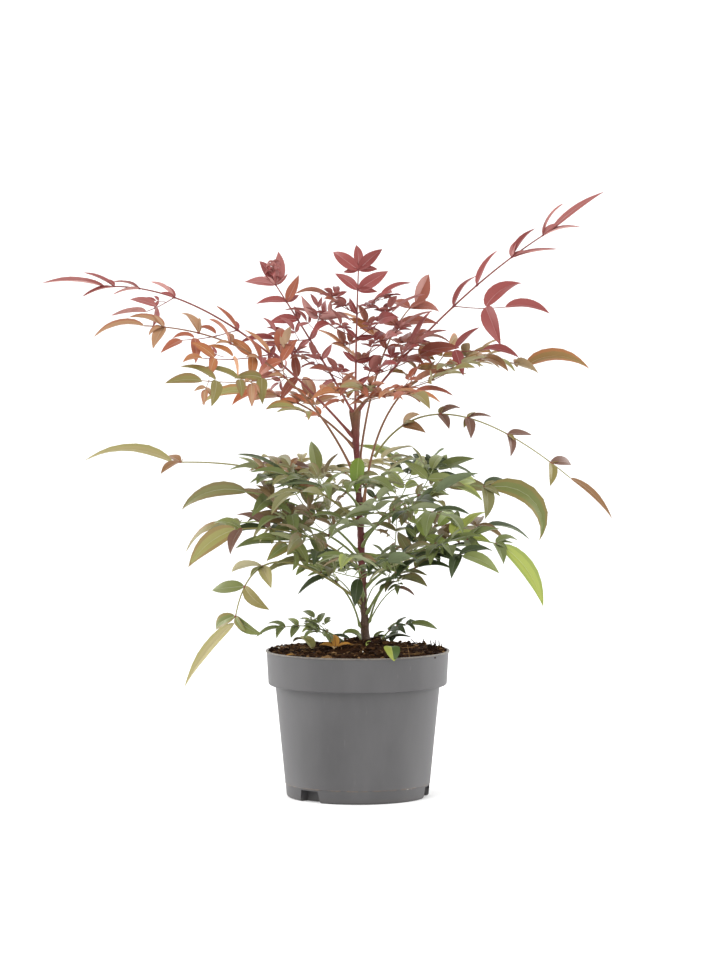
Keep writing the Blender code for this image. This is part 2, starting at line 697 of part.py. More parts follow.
def sections(frond, axis):
    """The stretches of axis that a frond's masses take, each a gap after what comes before it."""
    gap = GAP / axis.length()
    start = 0.0 if frond.carrier == "soil" else bough_share(frond.name) + gap
    if frond.split >= 1.0:
        return [(f"foliage_{frond.name}", start, 1.0)]
    inner = (f"foliage_{frond.name}_inner", start, frond.split)
    return [inner, (f"foliage_{frond.name}_outer", frond.split + gap, 1.0)]


def turned_in(heading, side, degrees):
    """A direction in the blade's plane, turned from its heading towards its side."""
    turn = math.radians(degrees)
    return heading * math.cos(turn) + side * math.sin(turn)


class Mass:
    """One mass of foliage while it grows: the solids of its node, clear of every other node."""

    def __init__(self, node, frond, space):
        self.node = node
        self.frond = frond
        self.rng = random.Random(frond.seed)
        self.space = space
        self.solids = []

    def add(self, solid, outer):
        """Take a piece into the mass."""
        self.space.keep(self.node, solid, outer)
        self.solids.append(solid)

    def leaf(self, root, tangent, hand, length, bend=None, turn=0.0, breadth=1.0, angle=LEAF_ANGLE):
        """Add a leaflet where it is free, trying a few headings. hand is -1 or 1, or 0 for straight ahead."""
        rng = self.rng
        side = frame_at(tangent, self.frond.roll)[0]
        up = frame_at(tangent, self.frond.roll * LEAF_LEVEL + rng.uniform(-LEAF_ROLL, LEAF_ROLL))[1]
        length *= rng.uniform(*LEAF_SIZE)
        lift, droop = bend or (rng.uniform(*LEAF_LIFT), rng.uniform(*LEAF_DROOP))
        lean = rng.uniform(*LEAF_LEAN)
        root = root + side * (hand * LEAF_OFFSET * self.frond.girth)
        for aside in LEAF_TURNS:
            heading = turned_in(tangent, side, hand * angle + lean + aside)
            upward = (up - heading * up.dot(heading)).normalized()
            leaf = Leaf(root, heading, upward, length, math.radians(lift), math.radians(droop),
                        math.radians(turn), breadth)
            whole, outer = leaf_rings(leaf, LEAF_MARGIN), leaf_rings(leaf, LEAF_MARGIN, LEAF_ROOT_SHARE)
            if self.space.is_free(self.node, loft(whole), loft(outer)):
                self.add(loft(leaf_rings(leaf)), loft(leaf_rings(leaf, 0.0, LEAF_ROOT_SHARE)))
                return

    def spray(self, root, tangent, hand, length):
        """Add a side spray where it is free: a twig with pairs of leaflets and one at its end."""
        frond, rng = self.frond, self.rng
        side, up = frame_at(tangent, frond.roll)
        heading = turned_in(tangent, side, hand * (SPRAY_ANGLE + rng.uniform(*SPRAY_SWING)))
        heading = (heading + up * rng.uniform(*SPRAY_RISE)).normalized()
        points = [root + heading * length * SPRAY_SUNK, root + heading * length]
        radii = [SPRAY_RADIUS * frond.girth, SPRAY_RADIUS * frond.girth * (1 - SPRAY_TAPER)]
        beyond = loft(twig_rings(points, radii, LEAF_MARGIN))
        if not self.space.is_free(self.node, beyond, beyond):
            return
        self.add(loft([[root - heading * LEAF_SINK]] + twig_rings(points, radii)), beyond)
        pairs = max(1, round(length / (LEAF_PITCH * frond.leaflet)) - 1)
        for pair in range(pairs):
            step = (pair + 1) / (pairs + SPRAY_BEYOND_LAST)
            spot = root + heading * length * step
            for way in (-1, 1):
                self.leaf(spot, heading, way, frond.leaflet * SPRAY_LEAF_SHARE)
        self.leaf(points[-1], heading, 0, frond.leaflet * SPRAY_END_SHARE)

    def node_pair(self, axis, share):
        """Add what stands on both sides of one node of the axis: two sprays, or two leaflets near its tip."""
        root, tangent = axis.point(share), axis.tangent(share)
        length = self.frond.side * (1 - share) * axis.length()
        for hand in (-1, 1):
            self.rng = random.Random(self.frond.seed + NODE_SEEDS * round(share * 100) + hand)
            reach = length * (1 + hand * self.frond.bias)
            if reach > SPRAY_LEAST * self.frond.leaflet:
                self.spray(root, tangent, hand, reach)
            else:
                self.leaf(root, tangent, hand, self.frond.leaflet, angle=self.frond.spread)


def start_masses(frond, axis, space):
    """A frond's masses with their stems and the leaflet at its tip, which sets how far the crown reaches."""
    masses = []
    for node, low, high in sections(frond, axis):
        mass = Mass(node, frond, space)
        stem = loft(twig_rings(*rachis(frond, axis, low, high)))
        mass.add(stem, stem)
        masses.append((mass, low, high))
    bend = frond.tip_lift, frond.tip_droop
    mass.leaf(axis.point(1.0), axis.tangent(1.0), 0, frond.tip, bend, frond.tip_turn, frond.tip_breadth)
    return masses


def grow(masses, axis):
    """Add the sprays and leaflets at the nodes of a frond's masses."""
    for mass, low, high in masses:
        for share in mass.frond.nodes:
            if low <= share <= high:
                mass.node_pair(axis, share)


def solid_object(name, solid, origin, collection, tint=None):
    """A mesh object from (points, faces)."""
    points, faces = solid
    mesh = bpy.data.meshes.new(name)
    mesh.from_pydata([point - origin for point in points], [], faces)
    return add_object(name, mesh, collection, tint, origin)


def island_volume(faces):
    """The signed volume that a set of faces encloses."""
    return sum(face.calc_center_median().dot(face.normal) * face.calc_area() for face in faces) / 3


def keep_one_body(mesh):
    """Drop loose scraps, and fill the hollows that fusing seals."""
    bm = bmesh.new()
    bm.from_mesh(mesh)
    bmesh.ops.triangulate(bm, faces=bm.faces)
    left, islands = set(bm.faces), []
    while left:
        island, edge = set(), [left.pop()]
        while edge:
            face = edge.pop()
            island.add(face)
            near = {other for side in face.edges for other in side.link_faces} & left
            left -= near
            edge.extend(near)
        islands.append(island)
    best = max(islands, key=island_volume)
    spare = [face for island in islands if island is not best for face in island]
    bmesh.ops.delete(bm, geom=spare, context="FACES")
    bm.to_mesh(mesh)
    bm.free()


def fuse(name, pieces, tint, parts):
    """One mass: a single union of its stem with the collection of its twigs and leaflets."""
    origin = pieces[0][0][0].copy()
    mass = solid_object(name, pieces[0], origin, parts, tint)
    loose = new_collection(f"{name}_pieces")
    for index, solid in enumerate(pieces[1:]):
        solid_object(f"{name}_piece_{index}", solid, origin, loose)
    join = mass.modifiers.new("Fuse", "BOOLEAN")
    join.operation = "UNION"
    join.operand_type = "COLLECTION"
    join.collection = loose
    join.solver = "MANIFOLD"
    mesh = evaluated_mesh(mass)
    for obj in list(loose.objects):
        bpy.data.objects.remove(obj, do_unlink=True)
    bpy.data.collections.remove(loose)
    keep_one_body(mesh)
    replace_mesh(mass, mesh, tint)
    return mass


def occupied(space, obj):
    """Record a finished object's own surface."""
    mesh = evaluated_mesh(obj)
    points = [obj.matrix_world @ vert.co for vert in mesh.vertices]
    solid = (points, [tuple(face.vertices) for face in mesh.polygons])
    space.keep(obj.name, solid, solid)
    bpy.data.meshes.remove(mesh)


def main():
    """Build the pot, the soil, the cane, the boughs and the masses, and parent them to one empty."""
    clear_scene()
    parts = new_collection("heavenly_bamboo")
    cutters = new_collection("cutters")
    space = Clearance()
    for obj in (make_pot(parts, cutters), make_soil(parts, cutters), make_cane(parts)):
        bpy.context.view_layer.update()
        occupied(space, obj)
    axes = {}
    for frond in FRONDS:
        axes[frond.name] = frond_axis(frond, axes)
        bough = make_bough(frond, axes[frond.name], parts)
        bpy.context.view_layer.update()
        occupied(space, bough)
    for frond in BASAL_SHOOTS:
        axes[frond.name] = frond_axis(frond, axes)
    plant = {frond.name: start_masses(frond, axes[frond.name], space) for frond in FRONDS + BASAL_SHOOTS}
    for name, masses in plant.items():
        grow(masses, axes[name])
        for mass, _, _ in masses:
            fuse(mass.node, mass.solids, mass.frond.tint, parts)
    whole = bpy.data.objects.new("heavenly_bamboo", None)
    parts.objects.link(whole)
    for obj in parts.objects:
        if obj is not whole:
            obj.parent = whole


main()
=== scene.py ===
"""The look of a heavenly bamboo in its grey nursery pot.

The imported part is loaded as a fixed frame, and every solid gives way to a detailed piece in the same place.
Lengths are in metres, +Z is up and -Y is towards the viewer. The fronds grow by the rule that shaped the
solids, carried on to finer twigs.
"""

import logging
import math
import random
from dataclasses import dataclass, field, replace
from enum import Enum
from functools import cache
from typing import Callable, Iterator, Optional

import bmesh
import bpy
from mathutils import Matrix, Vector, noise
from mathutils.bvhtree import BVHTree


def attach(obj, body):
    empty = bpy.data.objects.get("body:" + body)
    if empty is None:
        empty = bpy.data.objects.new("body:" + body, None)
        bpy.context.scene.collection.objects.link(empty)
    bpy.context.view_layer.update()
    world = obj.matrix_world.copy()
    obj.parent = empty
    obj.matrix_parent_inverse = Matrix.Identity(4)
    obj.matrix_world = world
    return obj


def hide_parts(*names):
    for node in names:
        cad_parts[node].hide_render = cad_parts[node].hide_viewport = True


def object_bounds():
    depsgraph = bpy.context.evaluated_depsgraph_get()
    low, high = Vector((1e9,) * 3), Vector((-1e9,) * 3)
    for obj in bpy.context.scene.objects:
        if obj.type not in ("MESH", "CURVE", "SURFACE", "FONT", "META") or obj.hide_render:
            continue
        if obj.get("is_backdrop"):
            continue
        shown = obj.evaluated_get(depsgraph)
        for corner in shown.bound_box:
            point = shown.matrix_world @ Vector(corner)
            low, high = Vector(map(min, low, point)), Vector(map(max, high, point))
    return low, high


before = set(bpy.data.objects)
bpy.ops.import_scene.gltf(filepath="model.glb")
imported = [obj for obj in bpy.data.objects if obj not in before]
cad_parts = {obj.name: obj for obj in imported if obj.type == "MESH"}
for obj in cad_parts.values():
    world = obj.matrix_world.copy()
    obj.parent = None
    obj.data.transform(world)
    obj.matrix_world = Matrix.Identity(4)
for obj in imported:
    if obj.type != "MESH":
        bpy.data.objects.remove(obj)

LOG = logging.getLogger("heavenly_bamboo")
UP = Vector((0.0, 0.0, 1.0))
BLACK = (0, 0, 0)
EVEN = (1.0, 1.0, 1.0)

Rgb = tuple[int, int, int]
Triple = tuple[float, float, float]
Socket = bpy.types.NodeSocket
Solid = tuple[list[Vector], list[tuple[int, ...]]]


def linear(colour: Rgb) -> tuple[float, float, float, float]:
    """Turn a display colour into the linear colour that a shader takes.

    Args:
        colour: red, green and blue, 0 to 255.

    Returns:
        The linear colour, with an alpha of 1.
    """
    parts = [channel / 255 for channel in colour]
    curve = [part / 12.92 if part <= 0.04045 else ((part + 0.055) / 1.055) ** 2.4 for part in parts]
    return curve[0], curve[1], curve[2], 1.0


def blended(first: Rgb, second: Rgb, share: float) -> Rgb:
    """The colour at a share of the way from one to another."""
    return tuple(int(a + (b - a) * share) for a, b in zip(first, second))


def spokes(count: int) -> list[float]:
    """Angles spaced evenly round a turn, in radians."""
    return [2 * math.pi * k / count for k in range(count)]


def around(turn: float, radius: float = 1.0, height: float = 0.0) -> Vector:
    """The place at an angle round the upright axis, in radians."""
    return Vector((radius * math.cos(turn), radius * math.sin(turn), height))


def linked(name: str, data: bpy.types.ID) -> bpy.types.Object:
    """Put a new object with its data in the scene.

    Args:
        name: its name.
        data: its mesh, lamp or camera.

    Returns:
        The object.
    """
    obj = bpy.data.objects.new(name, data)
    bpy.context.scene.collection.objects.link(obj)
    return obj


# Finishes


class Wiring:
    """A material's node tree, with short calls to add nodes and join them."""

    def __init__(self, name: str) -> None:
        """Start a material with its Principled shader.

        Args:
            name: the material's name.
        """
        self.material = bpy.data.materials.new(name)
        self.material.use_nodes = True
        self.tree = self.material.node_tree
        self.shader = self.tree.nodes["Principled BSDF"]

    def feed(self, value: object, target: Socket) -> None:
        """Give an input its value.

        Args:
            value: a socket to link, a display colour, a number or vector, or None for what it has.
            target: the input.
        """
        if isinstance(value, Socket):
            self.tree.links.new(value, target)
        elif value is not None:
            target.default_value = linear(value) if isinstance(value, tuple) else value

    def node(self, kind: str, *values: object, **settings: object) -> bpy.types.Node:
        """Add a node.

        Args:
            kind: the node's type without its ShaderNode prefix.
            values: what its first inputs take.
            settings: attributes of the node, or what an input takes where the name has a capital.

        Returns:
            The node.
        """
        made = self.tree.nodes.new(f"ShaderNode{kind}")
        for key, value in settings.items():
            if key[0].isupper():
                self.feed(value, made.inputs[key.replace("_", " ")])
            else:
                setattr(made, key, value)
        for value, target in zip(values, made.inputs):
            self.feed(value, target)
        return made

    def place(self) -> Socket:
        """The object's own coordinates."""
        return self.node("TexCoord").outputs["Object"]

    def height(self) -> Socket:
        """The height above the ground."""
        return self.node("SeparateXYZ", self.place()).outputs["Z"]

    def grain(self, scale: float, detail: float, stretch: Triple = EVEN, roughness: float = 0.55) -> Socket:
        """A noise field of so many waves per metre and octaves, on stretched coordinates."""
        place = self.node("Mapping", self.place(), Scale=Vector(stretch)).outputs[0]
        return self.node("TexNoise", place, Scale=scale, Detail=detail, Roughness=roughness).outputs[0]

    def levels(self, source: Socket, low: float, high: float, least: float = 0.0,
               most: float = 1.0) -> Socket:
        """A factor stretched from one range to another."""
        return self.node("MapRange", source, low, high, least, most).outputs[0]

    def patches(self, cut: tuple[float, float], strength: float, *grain: object) -> Socket:
        """Patches of a strength, where a grain rises through the cut's two levels."""
        return self.levels(self.grain(*grain), cut[0], cut[1], 0.0, strength)

    def product(self, first: Socket, second: object) -> Socket:
        """A factor times a number or another factor."""
        return self.node("Math", first, second, operation="MULTIPLY").outputs[0]

    def mix(self, share: Socket, first: object, second: object) -> Socket:
        """The mix of two colours, each a socket or a display colour.

        Args:
            share: the share of the second.
            first: the first colour.
            second: the second colour.

        Returns:
            The colour.
        """
        made = self.node("Mix", share, data_type="RGBA")
        for colour, target in zip((first, second), made.inputs[6:8]):
            self.feed(colour, target)
        return made.outputs[2]

    def ramp(self, source: Socket, stops: list[tuple[float, Rgb]]) -> Socket:
        """A colour ramp over a factor.

        Args:
            source: the factor.
            stops: (place, colour) pairs.

        Returns:
            The colour.
        """
        made = self.node("ValToRGB", source)
        while len(made.color_ramp.elements) < len(stops):
            made.color_ramp.elements.new(0.5)
        for element, (place, colour) in zip(made.color_ramp.elements, stops):
            element.position = place
            element.color = linear(colour)
        return made.outputs["Color"]

    def relief(self, source: Socket, strength: float, depth: float, below: Optional[Socket] = None) -> Socket:
        """The normal of a bump from a height field, which may lie on another bump."""
        return self.node("Bump", Strength=strength, Distance=depth, Height=source, Normal=below).outputs[0]

    def finish(self, colour: object, roughness: object, normal: Optional[Socket],
               specular: float) -> bpy.types.Material:
        """Set or link the shader's main sockets.

        Args:
            colour: a socket or a display colour.
            roughness: a socket or a number.
            normal: a socket, or None for a smooth surface.
            specular: the specular level.

        Returns:
            The material.
        """
        for name, value in (("Base Color", colour), ("Roughness", roughness), ("Normal", normal),
                            ("Specular IOR Level", specular)):
            self.feed(value, self.shader.inputs[name])
        return self.material


@dataclass(frozen=True)
class SkinFinish:
    """The skin of a leaf or stalk: one plain colour, faintly puckered."""

    name: str
    colour: Rgb
    roughness: float = 0.40
    specular: float = 0.24
    pucker: float = 0.14
    pucker_scale: float = 1500.0
    pucker_depth: float = 0.0003

    def material(self) -> bpy.types.Material:
        """Make the material."""
        wires = Wiring(self.name)
        bump = wires.relief(wires.grain(self.pucker_scale, 2), self.pucker, self.pucker_depth)
        return wires.finish(self.colour, self.roughness, bump, self.specular)


@dataclass(frozen=True)
class BarkFinish:
    """Cane bark: brown at the foot, maroon above, olive among the sheaths, with scars and long fissures."""

    name: str = "cane_bark"
    brown: Rgb = (72, 51, 35)
    warm_brown: Rgb = (88, 62, 46)
    maroon: Rgb = (106, 42, 44)
    olive: Rgb = (116, 84, 52)
    fissure: Rgb = (66, 38, 32)
    speck: Rgb = (150, 118, 88)
    lowest: float = 0.145
    highest: float = 0.375
    waver: float = 0.03

    def material(self) -> bpy.types.Material:
        """Make the material."""
        wires = Wiring(self.name)
        streak = wires.grain(520, 4, (1, 1, 0.07))
        climb = wires.node("Math", wires.height(), wires.product(streak, self.waver), operation="ADD")
        tall = wires.levels(climb.outputs[0], self.lowest, self.highest)
        stops = [(0.0, blended(self.brown, BLACK, 0.38)), (0.10, self.brown), (0.22, self.warm_brown),
                 (0.36, self.maroon), (0.62, blended(self.maroon, BLACK, 0.28)), (0.84, self.maroon),
                 (1.0, self.olive)]
        cracked = wires.levels(streak, 0.46, 0.72, 0.0, 0.55)
        streaked = wires.mix(cracked, wires.ramp(tall, stops), self.fissure)
        colour = wires.mix(wires.patches((0.62, 0.74), 0.5, 900, 2), streaked, self.speck)
        rough = wires.levels(streak, 0.3, 0.7, 0.42, 0.62)
        return wires.finish(colour, rough, wires.relief(streak, 0.5, 0.0006), 0.35)


@dataclass(frozen=True)
class PlasticFinish:
    """Moulded nursery-pot plastic: mid grey, with haze, scuffs, dust and a painted highlight on the lip, and
    a little soil in its seam.
    """

    name: str = "pot_plastic"
    deep_grey: Rgb = (73, 72, 73)
    pale_grey: Rgb = (84, 83, 84)
    scuff: Rgb = (112, 111, 110)
    speck: Rgb = (78, 70, 62)
    # the lip's top: dust, with a painted highlight
    lip_dust_and_highlight: Rgb = (116, 108, 98)
    foot_dust: Rgb = (84, 80, 76)
    grime: Rgb = (104, 90, 78)
    nick: Rgb = (176, 174, 170)
    height: float = 0.135
    seam: float = 0.0124
    foot: float = 0.006

    def material(self) -> bpy.types.Material:
        """Make the material."""
        wires = Wiring(self.name)
        haze = wires.grain(26, 4, (1, 1, 0.35))
        colour = wires.mix(wires.levels(haze, 0.3, 0.7), self.deep_grey, self.pale_grey)
        colour = wires.mix(wires.patches((0.64, 0.78), 0.34, 210, 5, (1, 1, 0.16), 0.7), colour, self.scuff)
        colour = wires.mix(wires.patches((0.74, 0.80), 0.45, 1300, 1), colour, self.speck)
        # The top of the lip is painted paler in patches: partly dust, partly a painted highlight where the
        # bead faces the light.
        rim = wires.levels(wires.height(), self.height - 0.0016, self.height - 0.0006)
        lip_dust_and_highlight_mask = wires.product(rim, wires.levels(wires.grain(330, 4), 0.38, 0.6, 0.25, 0.95))
        colour = wires.mix(lip_dust_and_highlight_mask, colour, self.lip_dust_and_highlight)
        low = wires.levels(wires.height(), self.foot, 0.0)
        colour = wires.mix(wires.product(low, 0.35), colour, self.foot_dust)
        above = wires.levels(wires.height(), self.seam - 0.0010, self.seam - 0.0004)
        below = wires.levels(wires.height(), self.seam + 0.0009, self.seam + 0.0003)
        seam = wires.product(above, below)
        grimy = wires.product(seam, wires.patches((0.40, 0.62), 0.75, 150, 4))
        colour = wires.mix(grimy, colour, self.grime)
        nicked = wires.product(seam, wires.patches((0.66, 0.70), 1.0, 95, 3))
        colour = wires.mix(nicked, colour, self.nick)
        fine = wires.relief(wires.grain(2400, 2), 0.10, 0.0002)
        bump = wires.relief(haze, 0.12, 0.0012, fine)
        return wires.finish(colour, wires.levels(haze, 0.3, 0.7, 0.44, 0.58), bump, 0.4)


@dataclass(frozen=True)
class PeatFinish:
    """Moist peat or one of its crumbs, mottled between two browns."""

    name: str
    dark: Rgb
    light: Rgb
    scale: float = 900.0

    def material(self) -> bpy.types.Material:
        """Make the material."""
        wires = Wiring(self.name)
        lumps = wires.grain(self.scale, 5, EVEN, 0.7)
        colour = wires.ramp(lumps, [(0.32, self.dark), (0.55, self.light), (0.72, self.dark)])
        bump = wires.relief(lumps, 0.9, 0.0016)
        return wires.finish(colour, wires.levels(lumps, 0.3, 0.7, 0.98, 0.86), bump, 0.08)


@dataclass(frozen=True)
class FloorFinish:
    """The studio's pale sweep."""

    name: str = "pale_sweep"
    white: Rgb = (250, 250, 250)
    roughness: float = 0.9
    specular: float = 0.1

    def material(self) -> bpy.types.Material:
        """Make the material."""
        return Wiring(self.name).finish(self.white, self.roughness, None, self.specular)


class StalkTone(Enum):
    """The colours of stalks, and of the swellings at their nodes."""

    RED = ((120, 60, 52), (102, 36, 38))
    COPPER = ((124, 84, 58), (112, 50, 42))
    OLIVE = ((128, 122, 72), (120, 62, 50))
    GREEN = ((116, 126, 74), (110, 74, 56))

    @property
    def stalk(self) -> str:
        """The name of the stalk's finish."""
        return f"stalk_{self.name.lower()}"

    @property
    def swelling(self) -> str:
        """The name of the swellings' finish."""
        return f"node_{self.name.lower()}"

    def finishes(self) -> list[SkinFinish]:
        """The two finishes, smooth with fine lines."""
        return [SkinFinish(name, colour, 0.5, 0.4, 0.2, 2600.0, 0.0002)
                for name, colour in zip((self.stalk, self.swelling), self.value)]


class Tint(Enum):
    """The zones of the crown: the record's slot, the stalks' tone, and how often each shade is dealt."""

    CRIMSON = ("foliage_crimson", StalkTone.RED, {"crimson": 5, "wine": 4, "rose": 3, "brick": 2})
    RUST = ("foliage_rust", StalkTone.COPPER, {"rust": 4, "russet": 4, "copper": 3, "dull_olive": 3})
    AUTUMN = ("foliage_rust", StalkTone.COPPER, {"orange": 3, "amber": 3, "tawny": 3, "brick": 1})
    OLIVE = ("foliage_olive", StalkTone.OLIVE, {"olive": 4, "bronze": 2, "plum": 2, "moss": 3, "straw": 1})
    BRONZE = ("foliage_olive", StalkTone.COPPER, {"ochre": 4, "bronze": 2, "straw_green": 4, "olive": 2})
    GREEN = ("foliage_green", StalkTone.GREEN, {"leaf_green": 5, "deep_green": 4, "fresh_green": 3,
                                                "dull_green": 3, "brown_green": 1})
    SHADE = ("foliage_green", StalkTone.GREEN, {"deep_green": 2, "leaf_green": 4, "fresh_green": 3})
    LIME = ("foliage_lime", StalkTone.GREEN, {"lime": 1, "spring_green": 2, "leaf_green": 3,
                                              "fresh_green": 2})

    def __init__(self, slot: str, stalks: StalkTone, dealt: dict[str, int]) -> None:
        """Keep what a zone is made of.

        Args:
            slot: the record's material slot.
            stalks: the tone of its stalks.
            dealt: the weight of each shade.
        """
        self.slot = slot
        self.stalks = stalks
        self.shades = list(dealt)
        self.weights = list(dealt.values())


@dataclass(frozen=True)
class LeafShade:
    """One shade of leaf: its upper skin, its underside, and the shade that its edge leans to."""

    name: str
    upper: Rgb
    under: Rgb
    edge: str = ""
    rib_share: float = 0.25
    rib_pale: Rgb = (214, 214, 214)

    def finishes(self, uppers: dict[str, Rgb]) -> list[SkinFinish]:
        """The finishes of its skins.

        Args:
            uppers: the upper skin of each shade.

        Returns:
            The upper skin, the underside, the rib and, where it has one, the edge.
        """
        rib = blended(self.upper, self.rib_pale, self.rib_share)
        made = [SkinFinish(self.name, self.upper), SkinFinish(f"{self.name}_under", self.under, 0.62, 0.2),
                SkinFinish(f"{self.name}_rib", rib, 0.5, 0.25)]
        if self.edge:
            made.append(SkinFinish(f"{self.name}_edge", blended(self.upper, uppers[self.edge], 0.5)))
        return made


LEAF_SHADES = (
    LeafShade("crimson", (138, 70, 67), (168, 112, 106)),
    LeafShade("wine", (122, 57, 54), (150, 94, 88)),
    LeafShade("rose", (150, 90, 86), (178, 130, 124)),
    LeafShade("brick", (146, 84, 64), (168, 116, 96)),
    LeafShade("rust", (150, 86, 63), (168, 116, 94)),
    LeafShade("russet", (134, 75, 60), (156, 106, 90)),
    LeafShade("copper", (160, 104, 64), (176, 130, 96), "rust"),
    LeafShade("dull_olive", (128, 114, 68), (152, 142, 104), "rust"),
    LeafShade("orange", (172, 100, 64), (184, 134, 102), "brick"),
    LeafShade("amber", (148, 142, 86), (168, 158, 116), "orange"),
    LeafShade("tawny", (160, 122, 90), (176, 146, 118), "brick"),
    LeafShade("olive", (122, 112, 64), (150, 142, 104), "bronze"),
    LeafShade("bronze", (130, 96, 64), (154, 128, 98)),
    LeafShade("plum", (104, 76, 64), (136, 110, 98)),
    LeafShade("moss", (106, 112, 62), (142, 146, 106), "ochre"),
    LeafShade("straw", (154, 144, 100), (168, 160, 126), "straw_green"),
    LeafShade("ochre", (134, 106, 62), (154, 132, 98), "orange"),
    LeafShade("straw_green", (140, 136, 80), (158, 152, 110), "bronze"),
    LeafShade("leaf_green", (96, 105, 60), (132, 138, 104)),
    LeafShade("deep_green", (54, 65, 36), (100, 110, 80)),
    LeafShade("fresh_green", (124, 133, 78), (152, 158, 116), "lime"),
    LeafShade("dull_green", (112, 110, 70), (144, 142, 108), "brown_green"),
    LeafShade("brown_green", (114, 94, 64), (140, 124, 98)),
    LeafShade("lime", (152, 162, 78), (172, 180, 114), "spring_green"),
    LeafShade("spring_green", (124, 138, 70), (154, 164, 108)),
)
EDGED_SHADES = frozenset(shade.name for shade in LEAF_SHADES if shade.edge)

OTHER_FINISHES = (
    FloorFinish(),
    BarkFinish(),
    PlasticFinish(),
    PeatFinish("peat", (14, 7, 3), (56, 32, 15), 420.0),
    PeatFinish("crumb_dark", (18, 9, 4), (44, 24, 12)),
    PeatFinish("crumb_brown", (56, 35, 19), (84, 57, 33)),
    PeatFinish("crumb_tan", (104, 76, 48), (140, 110, 74)),
    PeatFinish("white_speck", (190, 184, 172), (226, 222, 212)),
    SkinFinish("rim_leaf", (134, 142, 58), 0.4, 0.4),
    SkinFinish("rim_leaf_dark", (64, 82, 38), 0.4, 0.4),
    SkinFinish("rim_leaf_under", (132, 138, 84), 0.6, 0.3),
    SkinFinish("rim_leaf_rib", (164, 168, 96), 0.5, 0.3),
    SkinFinish("bright_green", (100, 120, 44)),
    SkinFinish("bright_green_under", (128, 142, 84), 0.6, 0.2),
    SkinFinish("bright_green_rib", (132, 146, 78), 0.5, 0.25),
    SkinFinish("withered", (168, 120, 52), 0.7, 0.2, 0.5),
    SkinFinish("withered_under", (150, 112, 62), 0.8, 0.2, 0.5),
    SkinFinish("withered_rib", (120, 82, 40), 0.8, 0.2),
)


def all_finishes() -> dict[str, object]:
    """Every finish by name."""
    uppers = {shade.name: shade.upper for shade in LEAF_SHADES}
    finishes = list(OTHER_FINISHES)
    for shade in LEAF_SHADES:
        finishes += shade.finishes(uppers)
    for tone in StalkTone:
        finishes += tone.finishes()
    return {finish.name: finish for finish in finishes}


FINISHES = all_finishes()


@cache
def paint(name: str) -> bpy.types.Material:
    """The material of a finish, made when it is first asked for."""
    return FINISHES[name].material()


# Meshes


class Skin:
    """The points and faces of one piece while it is built, each face with its finish."""

    def __init__(self, name: str) -> None:
        """Start an empty skin.

        Args:
            name: the piece's name.
        """
        self.name = name
        self.points: list[Vector] = []
        self.faces: list[tuple[int, ...]] = []
        self.finishes: list[str] = []

    def ring(self, places: list[Vector]) -> list[int]:
        """Add points and return their numbers."""
        self.points.extend(places)
        return list(range(len(self.points) - len(places), len(self.points)))

    def face(self, corners: tuple[int, ...], finish: str) -> None:
        """Add one face."""
        self.faces.append(corners)
        self.finishes.append(finish)

    def bridge(self, first: list[int], second: list[int], finish: str) -> None:
        """Join two closed rings of points that run the same way.

        Args:
            first: the lower ring, or one point.
            second: the upper ring, or one point.
            finish: the finish of the faces.
        """
        count = max(len(first), len(second))
        for k in range(count):
            after = (k + 1) % count
            if len(first) == 1:
                self.face((first[0], second[after], second[k]), finish)
            elif len(second) == 1:
                self.face((first[k], first[after], second[0]), finish)
            else:
                self.face((first[k], first[after], second[after], second[k]), finish)

    def tube(self, points: list[Vector], radii: list[float], sides: int,
             finish: Callable[[int], str]) -> None:
        """Add a closed round limb.

        Args:
            points: its centre line.
            radii: its radius at each point.
            sides: faces round it.
            finish: gives the finish of each run from its number.
        """
        across = (points[1] - points[0]).orthogonal().normalized()
        rings = []
        for index, (point, radius) in enumerate(zip(points, radii)):
            before, after = points[max(index - 1, 0)], points[min(index + 1, len(points) - 1)]
            along = (after - before).normalized()
            across = (across - along * across.dot(along)).normalized()
            other = along.cross(across)
            rings.append(self.ring([point + (across * math.cos(turn) + other * math.sin(turn)) * radius
                                    for turn in spokes(sides)]))
        for index, (first, second) in enumerate(zip(rings, rings[1:])):
            self.bridge(first, second, finish(index))
        start, end = self.ring([points[0]]), self.ring([points[-1]])
        self.bridge(start, rings[0], finish(0))
        self.bridge(rings[-1], end, finish(len(rings) - 2))

    def add_solid(self, points: list[Vector], faces: list[tuple[int, ...]], finish: str) -> None:
        """Add a ready body.

        Args:
            points: its points.
            faces: its faces, by the points' numbers.
            finish: its finish.
        """
        numbers = self.ring(points)
        for corners in faces:
            self.face(tuple(numbers[corner] for corner in corners), finish)

    def shape(self) -> bpy.types.Object:
        """Turn the skin into a mesh object."""
        mesh = bpy.data.meshes.new(self.name)
        mesh.from_pydata(self.points, [], self.faces)
        names = sorted(set(self.finishes))
        for name in names:
            mesh.materials.append(paint(name))
        mesh.polygons.foreach_set("material_index", [names.index(name) for name in self.finishes])
        return linked(self.name, mesh)

    def piece(self, slot: str, replaced: tuple[str, ...] = (), crease: float = 60.0) -> None:
        """Turn the skin into a piece, hiding the CAD nodes it stands for and keeping edges past its crease
        crisp.
        """
        dress(self.shape(), slot, replaced, crease)


def dress(obj: bpy.types.Object, slot: str, replaced: tuple[str, ...], crease: float) -> None:
    """Shade a piece smooth between its crisp edges, attach it to the root body and hide the CAD nodes it
    stands for.

    Args:
        obj: the mesh object.
        slot: the record's material slot; not used.
        replaced: the CAD nodes it stands for.
        crease: edges sharper than this stay crisp, in degrees.
    """
    bm = bmesh.new()
    bm.from_mesh(obj.data)
    limit = math.radians(crease)
    for face in bm.faces:
        face.smooth = True
    for edge in bm.edges:
        edge.smooth = not edge.is_manifold or edge.calc_face_angle(0.0) < limit
    bm.to_mesh(obj.data)
    bm.free()
    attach(obj, "root")
    if replaced:
        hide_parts(*replaced)
    LOG.info("%s: %d faces", obj.name, len(obj.data.polygons))


# The pot


